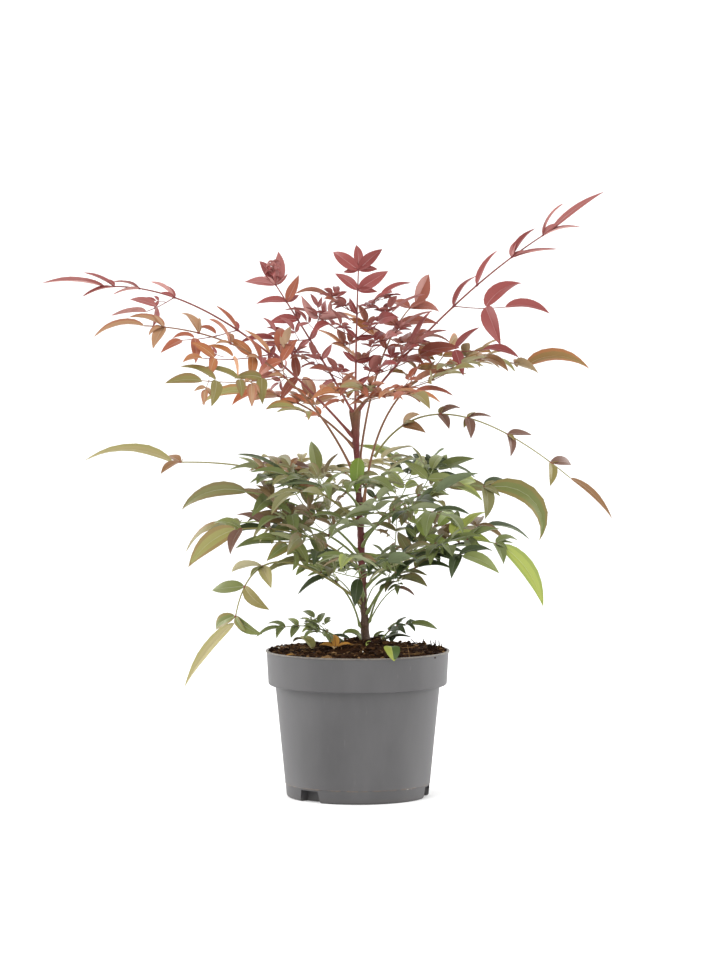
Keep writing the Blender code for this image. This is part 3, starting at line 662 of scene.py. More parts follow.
@dataclass
class Pot:
    """The round nursery pot, with a beaded lip, a collar, a seam round its foot and three drain pockets."""

    height: float = 0.135
    lip_radius: float = 0.085
    lip_bead: float = 0.0008
    lip_inner: float = 0.0006
    collar_top: float = 0.0839
    collar_foot: float = 0.0824
    collar_height: float = 0.0317
    collar_corner: float = 0.0018
    body_top: float = 0.0758
    body_foot: float = 0.0669
    seam_height: float = 0.0125
    seam_step: float = 0.0003
    foot_inset: float = 0.0012
    foot_corner: float = 0.0025
    wall: float = 0.0014
    floor: float = 0.0022
    steps: int = 160
    drain_angles: tuple[float, ...] = (-132.0, -12.0, 108.0)
    drain_widths: tuple[float, float] = (0.0245, 0.0205)
    drain_height: float = 0.0108
    drain_depth: float = 0.011
    drain_wall: float = 0.0015
    drain_inset: float = 0.0032
    crease: float = 32.0

    def rounded(self, centre: tuple[float, float], size: float, start: float, sweep: float,
                steps: int = 5) -> list[tuple[float, float]]:
        """(radius, height) pairs round a corner: its centre, its size, and its start and sweep in degrees."""
        turns = [math.radians(start + sweep * k / steps) for k in range(steps + 1)]
        return [(centre[0] + size * math.cos(turn), centre[1] + size * math.sin(turn)) for turn in turns]

    def profile(self) -> list[tuple[float, float]]:
        """The pot's section: up its inside from the floor's middle, over the lip and down to the foot."""
        top, step = self.height, self.height - self.collar_height
        bore_foot, bore_top = self.body_foot - self.wall, self.body_top - self.wall
        collar_foot, collar_top = self.collar_foot - self.wall, self.collar_top - self.wall
        corner, bead, foot = self.collar_corner, self.lip_bead, self.foot_corner
        inside = [(0.0, self.floor), (bore_foot - foot, self.floor), (bore_foot, self.floor + foot),
                  (bore_top, step - 0.001), (bore_top + 0.0004, step),
                  (collar_foot - 0.001, step + self.wall), (collar_foot, step + self.wall + 0.001),
                  (collar_top, top - 0.002)]
        lip = self.rounded((collar_top + self.lip_inner, top - self.lip_inner), self.lip_inner, 180, -90, 3)
        lip += self.rounded((self.lip_radius - bead, top - bead), bead, 90, -180, 8)
        neck = [(self.collar_top + 0.0001, top - 0.0020), (self.collar_top, top - 0.0026)]
        collar = self.rounded((self.collar_foot - corner, step + corner), corner, 0, -90)
        under = [(self.body_top + 0.0012, step), (self.body_top + 0.0002, step - 0.0006),
                 (self.body_top, step - 0.0016)]
        seam = [(self.body_foot + 0.00004, self.seam_height + 0.0004),
                (self.body_foot + 0.00022, self.seam_height),
                (self.body_foot - self.seam_step, self.seam_height - 0.0003)]
        base = self.rounded((self.body_foot - self.foot_inset - foot, foot), foot, 0, -90)
        return inside + lip + neck + collar + under + seam + base + [(0.0, 0.0)]

    def shell(self) -> bpy.types.Object:
        """Turn the shell, before its pockets are cut."""
        skin = Skin("pot_shell")
        turns = spokes(self.steps)
        rings = [skin.ring([around(turn, radius, height) for turn in turns] if radius else [UP * height])
                 for radius, height in self.profile()]
        for first, second in zip(rings, rings[1:]):
            skin.bridge(second, first, "pot_plastic")
        return skin.shape()

    def wedge(self, angle: float, outer: float, depth: float, widths: tuple[float, float],
              heights: tuple[float, float]) -> bpy.types.Object:
        """A block across the foot for a pocket.

        Args:
            angle: its direction, in degrees.
            outer: the radius of its outer end.
            depth: how far it reaches in from there.
            widths: its width at its floor and at its ceiling.
            heights: the height of its floor and of its ceiling.

        Returns:
            The block.
        """
        bm = bmesh.new()
        bmesh.ops.create_cube(bm, size=1.0)
        for vert in bm.verts:
            high = vert.co.z > 0
            vert.co.x = outer if vert.co.x > 0 else outer - depth
            vert.co.y = math.copysign(widths[high] / 2, vert.co.y)
            vert.co.z = heights[high]
        mesh = bpy.data.meshes.new("pocket")
        bm.to_mesh(mesh)
        bm.free()
        block = linked("pocket", mesh)
        block.rotation_euler.z = math.radians(angle)
        return block

    def pockets(self, shell: bpy.types.Object) -> None:
        """Add the three pockets' walls to the shell, then cut the pockets.

        Args:
            shell: the turned shell, which is changed.
        """
        thick, low, high = self.drain_wall, self.floor, self.drain_height
        housing = tuple(width + 2 * thick for width in self.drain_widths)
        blocks = []
        for angle in self.drain_angles:
            blocks.append((self.wedge(angle, self.body_foot - self.drain_inset, self.drain_depth + thick,
                                      housing, (low / 2, high + thick)), "UNION"))
            reach = self.lip_radius - self.body_foot + self.drain_depth
            blocks.append((self.wedge(angle, self.lip_radius, reach, self.drain_widths, (-low, high)),
                           "DIFFERENCE"))
        for block, operation in blocks:
            cut = shell.modifiers.new(operation.title(), "BOOLEAN")
            cut.operation = operation
            cut.object = block
            cut.solver = "EXACT"
        bpy.context.view_layer.update()
        graph = bpy.context.evaluated_depsgraph_get()
        shell.data = bpy.data.meshes.new_from_object(shell.evaluated_get(graph))
        shell.modifiers.clear()
        for block, _ in blocks:
            bpy.data.objects.remove(block, do_unlink=True)

    def build(self) -> None:
        """Make the pot's piece."""
        shell = self.shell()
        self.pockets(shell)
        shell.data.materials.clear()
        shell.data.materials.append(paint("pot_plastic"))
        dress(shell, "pot", ("pot",), self.crease)


# The peat


@dataclass
class Peat:
    """The peat in the pot: a lumpy top over a plain fill, with crumbs, fibres and stubble on it."""

    edge: float = 0.0822
    fill_radius: float = 0.064
    fill_step: float = 0.012
    fill_floor: float = 0.0026
    crown: float = 0.1445
    edge_height: float = 0.1325
    flat_radius: float = 0.0135
    cane_x: float = 0.0072
    cane_clear: float = 0.006
    lump: float = 0.0016
    lump_pitch: float = 95.0
    rough: float = 0.0011
    grains: tuple[Triple, ...] = ((330.0, 3.0, 1.0), (900.0, 7.0, 0.6))
    rings: int = 58
    spokes: int = 150
    crumbs: int = 620
    rim_crumbs: int = 420
    crumb_sizes: tuple[float, ...] = (0.0008, 0.0011, 0.0015, 0.002, 0.0028)
    rim_crumb_size: float = 0.0017
    crumb_mix: tuple[tuple[str, float], ...] = (
        ("crumb_dark", 60), ("crumb_brown", 32), ("crumb_tan", 12), ("white_speck", 0.6))
    heap: float = 0.0040
    heap_from: float = 0.90
    heap_to: float = 0.985
    heap_sides: float = 0.25
    fibres: int = 480
    fibre_mix: tuple[tuple[str, float], ...] = (("crumb_dark", 5), ("crumb_brown", 4), ("crumb_tan", 2))
    fibre_steps: int = 5
    seed: int = 17
    stubble: tuple[tuple[float, ...], ...] = (
        (0.0655, 0.016, 0.008, 20), (0.0685, 0.018, 0.01, -8.0), (0.071, 0.014, 0.0115, 4.0),
        (0.0725, 0.019, 0.009, -14), (0.0748, 0.012, 0.011, 2.0), (0.0762, 0.009, 0.008, 12),
        (0.059, 0.03, 0.014, -42), (0.057, 0.031, 0.011, 26), (-0.04, 0.052, 0.006, 10))
    straw: tuple[Triple, ...] = (
        (0.047, -0.052, 0.133), (0.0464, -0.049, 0.1385), (0.0452, -0.045, 0.144))

    def height(self, x: float, y: float) -> float:
        """The peat's mean surface: level round the cane, then a lumpy slope down to the wall.

        Args:
            x: the place across.
            y: the place in depth.

        Returns:
            Its height.
        """
        from_cane = math.hypot(x - self.cane_x, y)
        if from_cane <= self.flat_radius:
            return self.crown
        slope = min(1.0, (from_cane - self.flat_radius) / (self.edge - self.flat_radius))
        ease = 1 - (1 - slope) ** 2
        lump = noise.noise(Vector((x * self.lump_pitch, y * self.lump_pitch, 0.0)))
        near_wall = 1 - (math.hypot(x, y) / self.edge) ** 6
        return self.crown + (self.edge_height - self.crown) * ease + self.lump * lump * near_wall

    def surface(self, x: float, y: float) -> float:
        """The height of the peat's surface at a place, with its coarse and fine grain."""
        spots = [(Vector((x * pitch, y * pitch, seat)), part) for pitch, seat, part in self.grains]
        return self.height(x, y) + self.rough * sum(part * noise.noise(spot) for spot, part in spots)

    def on_top(self, turn: float, out: float, above: float = 0.0) -> Vector:
        """The place on the surface, or above it, at an angle and a distance from the pot's axis."""
        x, y = out * math.cos(turn), out * math.sin(turn)
        return Vector((x, y, self.surface(x, y) + above))

    def bed(self) -> None:
        """The top and the fill below it."""
        skin = Skin("peat_bed")
        turns = spokes(self.spokes)
        rings = [skin.ring([self.on_top(0.0, 0.0)])]
        for index in range(1, self.rings + 1):
            rings.append(skin.ring([self.on_top(turn, self.edge * index / self.rings) for turn in turns]))
        narrow = self.fill_radius - self.fill_step
        for radius, height in ((self.edge - 0.001, self.edge_height - 0.012), (0.0735, 0.1),
                               (self.fill_radius, 0.016), (narrow, 0.0135), (narrow, self.fill_floor)):
            rings.append(skin.ring([around(turn, radius, height) for turn in turns]))
        rings.append(skin.ring([UP * self.fill_floor]))
        for upper, lower in zip(rings, rings[1:]):
            skin.bridge(lower, upper, "peat")
        skin.piece("soil", ("soil",), 80.0)

    def spot(self, rng: random.Random, reach: float = 0.975) -> Vector:
        """A random place on the surface, off the cane's foot.

        Args:
            rng: draws it.
            reach: the share of the radius within which it lies.

        Returns:
            The place.
        """
        while True:
            turn, out = rng.uniform(0, 2 * math.pi), self.edge * reach * math.sqrt(rng.random())
            place = self.on_top(turn, out)
            if math.hypot(place.x - self.cane_x, place.y) > self.cane_clear:
                return place

    def at_wall(self, rng: random.Random) -> Vector:
        """A random place where crumbs are heaped against the wall, behind and at the sides.

        Args:
            rng: draws it.

        Returns:
            The place.
        """
        turn = rng.uniform(-self.heap_sides, math.pi + self.heap_sides)
        share = rng.uniform(self.heap_from, self.heap_to)
        heaped = self.heap * (share - self.heap_from) / (self.heap_to - self.heap_from) * rng.random()
        return self.on_top(turn, self.edge * share, heaped)

    def loose_crumbs(self) -> None:
        """Broken lumps of peat and bark, most of them small."""
        rng = random.Random(self.seed)
        skin = Skin("peat_crumbs")
        bm = bmesh.new()
        bmesh.ops.create_icosphere(bm, subdivisions=1, radius=1.0)
        ball = [vert.co.copy() for vert in bm.verts]
        faces = [tuple(vert.index for vert in face.verts) for face in bm.faces]
        bm.free()
        names, weights = zip(*self.crumb_mix)
        for index in range(self.crumbs + self.rim_crumbs):
            at_wall = index >= self.crumbs
            spot = self.at_wall(rng) if at_wall else self.spot(rng)
            size = rng.choice(self.crumb_sizes) * rng.uniform(0.8, 1.2)
            size = min(size, self.rim_crumb_size) if at_wall else size
            shape = Vector((rng.uniform(0.8, 1.9), rng.uniform(0.6, 1.2), rng.uniform(0.4, 0.9)))
            turn, key = rng.uniform(0, math.pi), rng.uniform(0, 99)
            places = []
            for point in ball:
                bulge = 1 + 0.55 * noise.noise(point * 1.3 + Vector((key, 0, 0)))
                local = point * shape * size * bulge
                x = local.x * math.cos(turn) - local.y * math.sin(turn)
                y = local.x * math.sin(turn) + local.y * math.cos(turn)
                places.append(spot + Vector((x, y, local.z + size * 0.25)))
            skin.add_solid(places, faces, rng.choices(names, weights)[0])
        skin.piece("soil", (), 35.0)

    def fibre(self, rng: random.Random) -> tuple[list[Vector], float]:
        """One fibre that lies on the surface or lifts a little off it.

        Args:
            rng: draws it.

        Returns:
            Its points, fewer where it meets the wall, and its radius.
        """
        points = [self.spot(rng, 0.955)]
        step = rng.uniform(0.004, 0.017) / self.fibre_steps
        turn, bend = rng.uniform(0, 2 * math.pi), rng.uniform(-1.2, 1.2)
        lift = rng.uniform(-0.05, 0.28)
        radius = rng.uniform(0.00012, 0.0004)
        for k in range(1, self.fibre_steps + 1):
            ahead = points[-1] + around(turn + bend * k / self.fibre_steps, step)
            if math.hypot(ahead.x, ahead.y) > self.edge - 0.001:
                break
            ahead.z = max(self.surface(ahead.x, ahead.y) + radius, points[-1].z + lift * step * (1 - k / 3))
            points.append(ahead)
        return points, radius

    def loose_fibres(self) -> None:
        """Root hairs, straws and splinters that lie on the peat, and the stubble that stands in it."""
        rng = random.Random(self.seed + 1)
        skin = Skin("peat_fibres")
        names, weights = zip(*self.fibre_mix)
        for _ in range(self.fibres):
            points, radius = self.fibre(rng)
            if len(points) > 2:
                finish = rng.choices(names, weights)[0]
                skin.tube(points, [radius] * (len(points) - 1) + [radius * 0.4], 5, lambda _, f=finish: f)
        for x, y, height, lean in self.stubble:
            foot = Vector((x, y, self.surface(x, y) - 0.001))
            turn = math.radians(lean)
            top = foot + Vector((math.sin(turn), 0.0, math.cos(turn))) * height
            bent = foot.lerp(top, 0.55) + Vector((0.0006, 0.0, 0.0))
            skin.tube([foot, bent, top], [0.0007, 0.00055, 0.0004], 6, lambda _: "crumb_dark")
        straw = [Vector(place) for place in self.straw]
        skin.tube(straw, [0.00028, 0.00024, 0.00016], 5, lambda _: "crumb_tan")
        skin.piece("soil")

    def build(self) -> None:
        """Make the peat's pieces."""
        self.bed()
        self.loose_crumbs()
        self.loose_fibres()


# The plant's growth


@dataclass
class Axis:
    """A bend of the second degree through a knee."""

    start: Vector
    knee: Vector
    end: Vector
    steps: int = 12

    def point(self, share: float) -> Vector:
        """The place at a share of the bend."""
        rest = 1 - share
        return rest * rest * self.start + 2 * share * rest * self.knee + share * share * self.end

    def tangent(self, share: float) -> Vector:
        """The direction at a share of the bend."""
        return ((1 - share) * (self.knee - self.start) + share * (self.end - self.knee)).normalized()

    def length(self) -> float:
        """The bend's length."""
        marks = [self.point(k / self.steps) for k in range(self.steps + 1)]
        return sum((b - a).length for a, b in zip(marks, marks[1:]))


@dataclass(frozen=True)
class Frond:
    """One compound leaf. Its axis is a bend from the foot, past a knee, to the root of its last leaflet.

    Attributes:
        foot: the height on the cane, the share of another stalk, or the distance from the cane on the peat.
        heading: the way it points, in degrees.
        reach, rise: where the axis ends, outward and upward from its foot.
        knee_out, knee_up: where its knee is.
        nodes: the shares of the axis that bear sprays or leaflets.
        side: the length of a spray against the axis beyond it.
        leaflet, tip: the length of a leaflet, and of the one at the tip.
        roll, bias: how the sprays are rolled about the axis, and how much longer one side's are.
        spread: the angle of leaflets that stand on the axis.
        tip_lift, tip_droop, tip_turn, tip_breadth, tip_slim, tip_shade: the tip leaflet's form and shade.
        split: the share of the axis where its foliage is parted into two masses.
        carrier, girth: what bears it, and its thickness against the usual.
        fine, young: how often finer twigs and small leaflets grow.
        knot: the number of curled leaflets crowded at its tip.
        pair_turn: how far the leaflets on the axis are turned about their midribs.
        dealt: the shades of its first sprays.
        bold_spray: the number of the spray whose leaflets are larger.
    """

    name: str
    foot: float
    heading: float
    reach: float
    rise: float
    knee_out: float
    knee_up: float
    nodes: tuple[float, ...]
    side: float
    leaflet: float
    tip: float
    tint: Tint
    seed: int
    roll: float = 0.0
    bias: float = 0.0
    spread: float = 56.0
    tip_lift: float = 12.0
    tip_droop: float = 48.0
    tip_turn: float = 0.0
    tip_breadth: float = 1.0
    split: float = 1.0
    carrier: str = "cane"
    girth: float = 1.0
    fine: float = 0.6
    young: float = 0.8
    tip_shade: str = ""
    knot: int = 0
    pair_turn: float = 0.0
    tip_slim: float = 1.0
    dealt: tuple[str, ...] = ()
    bold_spray: int = -1

    @property
    def bough_share(self) -> float:
        """The share of the axis that is a bare stalk."""
        return 0.0 if self.carrier == "soil" else self.nodes[0] - 0.03

    @property
    def masses(self) -> tuple[str, ...]:
        """The CAD nodes of its foliage."""
        if self.split < 1.0:
            return f"foliage_{self.name}_inner", f"foliage_{self.name}_outer"
        return (f"foliage_{self.name}",)


CANE_TOP = 0.3535
FRONDS = (
    Frond("top_shoot", CANE_TOP, 84, 0.028, 0.133, 0.004, 0.07, (0.18, 0.34, 0.5, 0.67, 0.84, 0.985), 0.6,
          0.034, 0.026, Tint.CRIMSON, 3, fine=1.0, tip_shade="crimson"),
    Frond("crown_left", CANE_TOP, 155, 0.081, 0.12, 0.038, 0.06, (0.24, 0.4, 0.55, 0.7, 0.84, 0.97),
          0.5, 0.031, 0.024, Tint.CRIMSON, 5, roll=70, tip_turn=-40, fine=1.0, knot=14, tip_shade="wine"),
    Frond("upper_right", CANE_TOP, 6, 0.179, 0.1665, 0.088, 0.11, (0.28, 0.5, 0.62, 0.8, 0.96), 0.28,
          0.039, 0.056, Tint.CRIMSON, 8, roll=-58, bias=0.45, spread=26, split=0.68, tip_droop=26,
          tip_turn=14, fine=0.15, young=0.9, pair_turn=-20, tip_shade="rose", tip_slim=0.5,
          dealt=("wine", "crimson", "crimson"), bold_spray=1),
    Frond("upper_front", CANE_TOP, 296, 0.115, 0.018, 0.036, 0.026, (0.17, 0.35, 0.54, 0.74, 0.93), 0.52,
          0.034, 0.038, Tint.RUST, 13, fine=0.9),
    Frond("far_left", 0.334, 180, 0.2255, 0.1355, 0.1225, 0.141, (0.31, 0.44, 0.7, 0.85, 0.96), 0.28, 0.031,
          0.056, Tint.CRIMSON, 21, roll=46, bias=-0.6, spread=24, split=0.42, tip_lift=20, tip_droop=30,
          fine=0.4, young=0.7, pair_turn=28, tip_shade="rose"),
    Frond("upper_back_left", 0.3241, 165, 0.0935, 0.0463, 0.0466, 0.048, (0.34, 0.56, 0.76, 0.95), 0.4,
          0.034, 0.056, Tint.AUTUMN, 34, roll=8, tip_lift=20, tip_droop=60, tip_turn=-40,
          tip_shade="amber"),
    Frond("upper_back_right", 0.3084, 62, 0.112, 0.146, 0.03, 0.112, (0.42, 0.58, 0.76, 0.93), 0.4,
          0.036, 0.036, Tint.RUST, 55, roll=-10, tip_lift=34, tip_droop=30, tip_turn=40, tip_breadth=1.25,
          tip_shade="russet"),
    Frond("left_orange", 0.3, 192, 0.1935, 0.134, 0.0613, 0.13, (0.42, 0.54, 0.67, 0.8, 0.93), 0.44,
          0.036, 0.048, Tint.AUTUMN, 89, roll=44, bias=-0.55, tip_lift=10, tip_droop=60,
          tip_turn=-25, fine=0.4, tip_shade="tawny",
          dealt=("olive", "rust", "bronze", "orange", "amber")),
    Frond("mid_back_left", 0.286, 108, 0.15, 0.002, 0.045, 0.024, (0.3, 0.46, 0.66, 0.9), 0.56, 0.039,
          0.044, Tint.OLIVE, 144),
    Frond("right_bronze", 0.2733, 8, 0.1513, 0.123, 0.016, 0.155, (0.46, 0.6, 0.74, 0.86, 0.96), 0.5,
          0.037, 0.062, Tint.BRONZE, 233, roll=-8, tip_lift=50, tip_droop=80, tip_turn=45, tip_breadth=1.2,
          tip_shade="ochre"),
    Frond("right_drooping", 0.34, 346, 0.1826, -0.018, 0.053, 0.086, (0.22, 0.44, 0.58, 0.76, 0.93), 0.12,
          0.029, 0.064, Tint.OLIVE, 377, roll=-26, tip_lift=20, tip_droop=38, tip_turn=24,
          carrier="right_bronze", girth=0.85, fine=0.3, young=0.4, tip_shade="bronze", tip_slim=0.55),
    Frond("left_front", 0.269, 244, 0.125, 0.016, 0.04, 0.032, (0.26, 0.44, 0.68, 0.93), 0.62, 0.04,
          0.046, Tint.GREEN, 610),
    Frond("left_long", 0.2547, 176, 0.169, 0.0527, 0.055, 0.0573, (0.28, 0.44, 0.62, 0.97), 0.32, 0.034,
          0.086, Tint.OLIVE, 987, roll=8, tip_lift=34, tip_droop=62, tip_turn=-30, fine=0.4,
          tip_shade="straw", dealt=("moss", "bronze", "leaf_green", "olive")),
    Frond("mid_back_right", 0.25, 64, 0.15, 0.052, 0.045, 0.052, (0.26, 0.44, 0.66, 0.9), 0.56, 0.039,
          0.044, Tint.GREEN, 1597, roll=-12),
    Frond("right_green", 0.2409, 354, 0.114, 0.0444, 0.055, 0.0573, (0.24, 0.44, 0.7, 0.96), 0.56, 0.037,
          0.08, Tint.GREEN, 2584, roll=-26, tip_lift=26, tip_droop=132, tip_turn=50, tip_breadth=1.2,
          tip_shade="moss"),
    Frond("right_front", 0.233, 302, 0.13, 0.034, 0.042, 0.044, (0.26, 0.44, 0.66, 0.92), 0.6, 0.04,
          0.046, Tint.GREEN, 4181, roll=-10),
    Frond("left_green", 0.227, 197, 0.105, 0.0555, 0.037, 0.0456, (0.28, 0.52, 0.82), 0.7, 0.039, 0.063,
          Tint.GREEN, 6765, roll=36, tip_lift=8, tip_droop=84, tip_turn=-35, tip_shade="dull_green"),
    Frond("left_back", 0.219, 148, 0.145, 0.026, 0.05, 0.045, (0.28, 0.46, 0.68, 0.93), 0.5, 0.037,
          0.062, Tint.GREEN, 10946, roll=16, tip_droop=60, tip_turn=-20, tip_shade="olive"),
    Frond("left_bronze", 0.211, 207, 0.1237, 0.039, 0.05, 0.044, (0.3, 0.52, 0.76, 0.97), 0.52, 0.037,
          0.057, Tint.OLIVE, 17711, roll=30, tip_lift=-6, tip_droop=44, tip_turn=-60, tip_breadth=1.3,
          tip_shade="straw_green",
          dealt=("deep_green", "leaf_green", "moss", "brown_green", "leaf_green", "olive")),
    Frond("right_back", 0.205, 30, 0.13, 0.04, 0.05, 0.045, (0.28, 0.46, 0.68, 0.93), 0.5, 0.037,
          0.046, Tint.GREEN, 28657, roll=-16),
    Frond("left_low", 0.18, 206, 0.126, -0.015, 0.11, 0.085, (0.6, 0.8, 0.97), 0.3, 0.042,
          0.086, Tint.OLIVE, 46368, roll=24, tip_lift=42, tip_droop=24, tip_turn=-35, fine=0.1, young=0.3,
          tip_shade="straw"),
    Frond("right_lime", 0.195, 339, 0.129, 0.0403, 0.064, 0.0575, (0.3, 0.52, 0.76, 0.97), 0.46, 0.037,
          0.067, Tint.LIME, 75025, roll=-22, tip_lift=-12, tip_droop=46, tip_turn=50, tip_breadth=1.15,
          tip_shade="lime"),
    Frond("front_low", 0.187, 264, 0.12, 0.042, 0.045, 0.042, (0.22, 0.4, 0.58, 0.78, 0.96), 0.5, 0.038,
          0.042, Tint.GREEN, 121393),
    Frond("right_thin", 0.171, 322, 0.108, 0.056, 0.04, 0.066, (0.36, 0.56, 0.78, 0.97), 0.46, 0.034,
          0.04, Tint.GREEN, 196418, roll=-20),
    Frond("low_left", 0.158, 198, 0.056, 0.056, 0.01, 0.046, (0.56, 0.78, 0.96), 0.66, 0.031, 0.04,
          Tint.GREEN, 317811, roll=30, tip_droop=84, girth=0.85),
    Frond("low_right", 0.162, 350, 0.045, 0.05, 0.008, 0.042, (0.54, 0.76, 0.96), 0.7, 0.03, 0.034,
          Tint.GREEN, 514229, roll=-30, girth=0.85),
    Frond("basal_left", 0.02, 190, 0.058, 0.014, 0.026, 0.02, (0.3, 0.52, 0.76, 0.96), 0.5, 0.021,
          0.028, Tint.SHADE, 832040, roll=20, carrier="soil", girth=0.7, fine=1.0),
    Frond("basal_right", 0.015, 352, 0.027, 0.015, 0.01, 0.016, (0.34, 0.6, 0.9), 0.6, 0.02, 0.024,
          Tint.SHADE, 1346269, roll=-20, carrier="soil", girth=0.7, fine=1.0),
)

LEAF_ANGLE = 56.0
LEAF_CREASE = 75.0
GAP = 0.0003


@dataclass
class Leaf:
    """A leaflet: a midrib that lifts off its root and droops, with two halves folded up from it."""

    root: Vector
    heading: Vector
    up: Vector
    length: float
    lift: float
    droop: float
    turn: float = 0.0
    broad: float = 1.0
    shade: str = ""
    bold: bool = False

    @classmethod
    def single(cls, shade: str, root: Vector, heading: float, length: float, lift: float, droop: float,
               broad: float) -> "Leaf":
        """A leaflet that stands by itself, with its heading, lift and droop in degrees."""
        ahead = around(math.radians(heading))
        return cls(root, ahead, UP.copy(), length, math.radians(lift), math.radians(droop), 0.0, broad, shade)

    def aside(self) -> Vector:
        """The direction across the leaflet."""
        return self.heading.cross(self.up).normalized()

    def blade(self, share: float, turn: float = 0.0) -> tuple[Vector, Vector, Vector]:
        """The blade at a share of its length, turned about the midrib.

        Args:
            share: the share of the length.
            turn: degrees added to the leaflet's own turn.

        Returns:
            The midrib's place, the direction across the blade and the direction its upper skin faces.
        """
        middle, normal = self.midrib(share)
        side = self.aside()
        angle = math.radians(self.turn + turn)
        return (middle, side * math.cos(angle) - normal * math.sin(angle),
                normal * math.cos(angle) + side * math.sin(angle))

    def midrib(self, share: float) -> tuple[Vector, Vector]:
        """The midrib at a share of its length.

        Args:
            share: the share of the length.

        Returns:
            Its place and the blade's normal there.
        """
        angle = self.lift - self.droop * share
        along = (math.sin(self.lift) - math.sin(angle)) / self.droop
        above = (math.cos(angle) - math.cos(self.lift)) / self.droop
        place = self.root + (self.heading * along + self.up * above) * self.length
        return place, self.up * math.cos(angle) - self.heading * math.sin(angle)

    def width(self) -> float:
        """The blade's width: long leaflets are narrower for their length."""
        like_life = 0.036
        return 0.35 * self.broad * min(self.length, like_life * (self.length / like_life) ** 0.2)


@dataclass
class Twig:
    """A straight twig, its radius at both ends, and the shares of it that bear leaflets."""

    start: Vector
    end: Vector
    radii: tuple[float, float]
    bearing: list[float]


def frame_at(tangent: Vector, roll: float) -> tuple[Vector, Vector]:
    """(side, up) square to a tangent: up is as near to the world's up as it can be, then rolled.

    Args:
        tangent: the direction.
        roll: the roll about it, in degrees.

    Returns:
        The two directions.
    """
    side = tangent.cross(UP)
    if side.length < 0.05:
        side = Vector((1.0, 0.0, 0.0))
    side.normalize()
    up = side.cross(tangent).normalized()
    turn = math.radians(roll)
    return side * math.cos(turn) + up * math.sin(turn), up * math.cos(turn) - side * math.sin(turn)


def turned_in(heading: Vector, side: Vector, degrees: float) -> Vector:
    """A direction in the blade's plane, turned from its heading towards its side."""
    turn = math.radians(degrees)
    return heading * math.cos(turn) + side * math.sin(turn)


def three_sided(points: list[Vector], radii: list[float], margin: float = 0.0) -> list[list[Vector]]:
    """Three-sided rings along a twig.

    Args:
        points: its centre line.
        radii: its radius at each point.
        margin: the air kept round it.

    Returns:
        The rings.
    """
    rings = []
    for index, (point, radius) in enumerate(zip(points, radii)):
        before, after = points[max(index - 1, 0)], points[min(index + 1, len(points) - 1)]
        side, up = frame_at((after - before).normalized(), 0.0)
        corners = [math.radians(90 + 120 * k) for k in range(3)]
        rings.append([point + (side * math.cos(c) + up * math.sin(c)) * (radius + margin) for c in corners])
    return rings


def envelope(leaf: Leaf, margin: float, start: float = 0.0) -> list[list[Vector]]:
    """The few rings that stand for a leaflet while room is sought for it.

    Args:
        leaf: the leaflet.
        margin: the air kept round it.
        start: the share of its length where the rings start.

    Returns:
        A point, rings of three, and a point.
    """
    rings = [[leaf.midrib(start)[0] if start else leaf.root - leaf.heading * 0.0006]]
    for share, breadth in (((0.30, 0.95), (0.66, 0.78)) if leaf.length > 0.042 else ((0.42, 1.0),)):
        middle, side, normal = leaf.blade(share)
        half = leaf.width() * breadth / 2
        raised = normal * (half * 0.32 + margin)
        rings.append([middle + side * (half + margin) + raised, middle - side * (half + margin) + raised,
                      middle - normal * (half * 0.13 + margin)])
    return rings + [[leaf.midrib(1.0)[0]]]


def loft(rings: list[list[Vector]]) -> Solid:
    """A closed skin over rings.

    Args:
        rings: rings of three points or one.

    Returns:
        Its points and faces.
    """
    points = [point for ring in rings for point in ring]
    starts = [sum(len(ring) for ring in rings[:k]) for k in range(len(rings))]
    faces: list[tuple[int, ...]] = []
    for (a, ring), (b, following) in zip(zip(starts, rings), zip(starts[1:], rings[1:])):
        for k in range(3):
            after = (k + 1) % 3
            if len(ring) == 1:
                faces.append((a, b + k, b + after))
            elif len(following) == 1:
                faces.append((a + after, a + k, b))
            else:
                faces += [(a + after, a + k, b + k), (a + after, b + k, b + after)]
    return points, faces


class Clearance:
    """What has been placed so far. Pieces of one mass meet at their roots, where only outer parts count."""

    def __init__(self) -> None:
        """Start with nothing placed."""
        self.kept: list[tuple] = []

    @staticmethod
    def record(solid: Solid) -> tuple[Vector, float, BVHTree]:
        """What is kept of a piece.

        Args:
            solid: its points and faces.

        Returns:
            Its centre, the radius of the ball round it, and its tree of faces.
        """
        points, faces = solid
        centre = sum(points, Vector()) / len(points)
        return centre, max((point - centre).length for point in points), BVHTree.FromPolygons(points, faces)

    def keep(self, node: str, whole: Solid, outer: Solid) -> None:
        """Remember a piece of a node."""
        self.kept.append((node, self.record(whole), self.record(outer)))

    def is_free(self, node: str, whole: Solid, outer: Solid) -> bool:
        """Whether a piece is clear of the other nodes, and its outer part of its own.

        Args:
            node: the node that it belongs to.
            whole: the piece.
            outer: the piece without its root.

        Returns:
            True where nothing is touched.
        """
        asked, asked_outer = self.record(whole), self.record(outer)
        for owner, kept, kept_outer in self.kept:
            centre, radius, tree = asked_outer if owner == node else asked
            other_centre, other_radius, other = kept_outer if owner == node else kept
            if (centre - other_centre).length < radius + other_radius and tree.overlap(other):
                return False
        return True


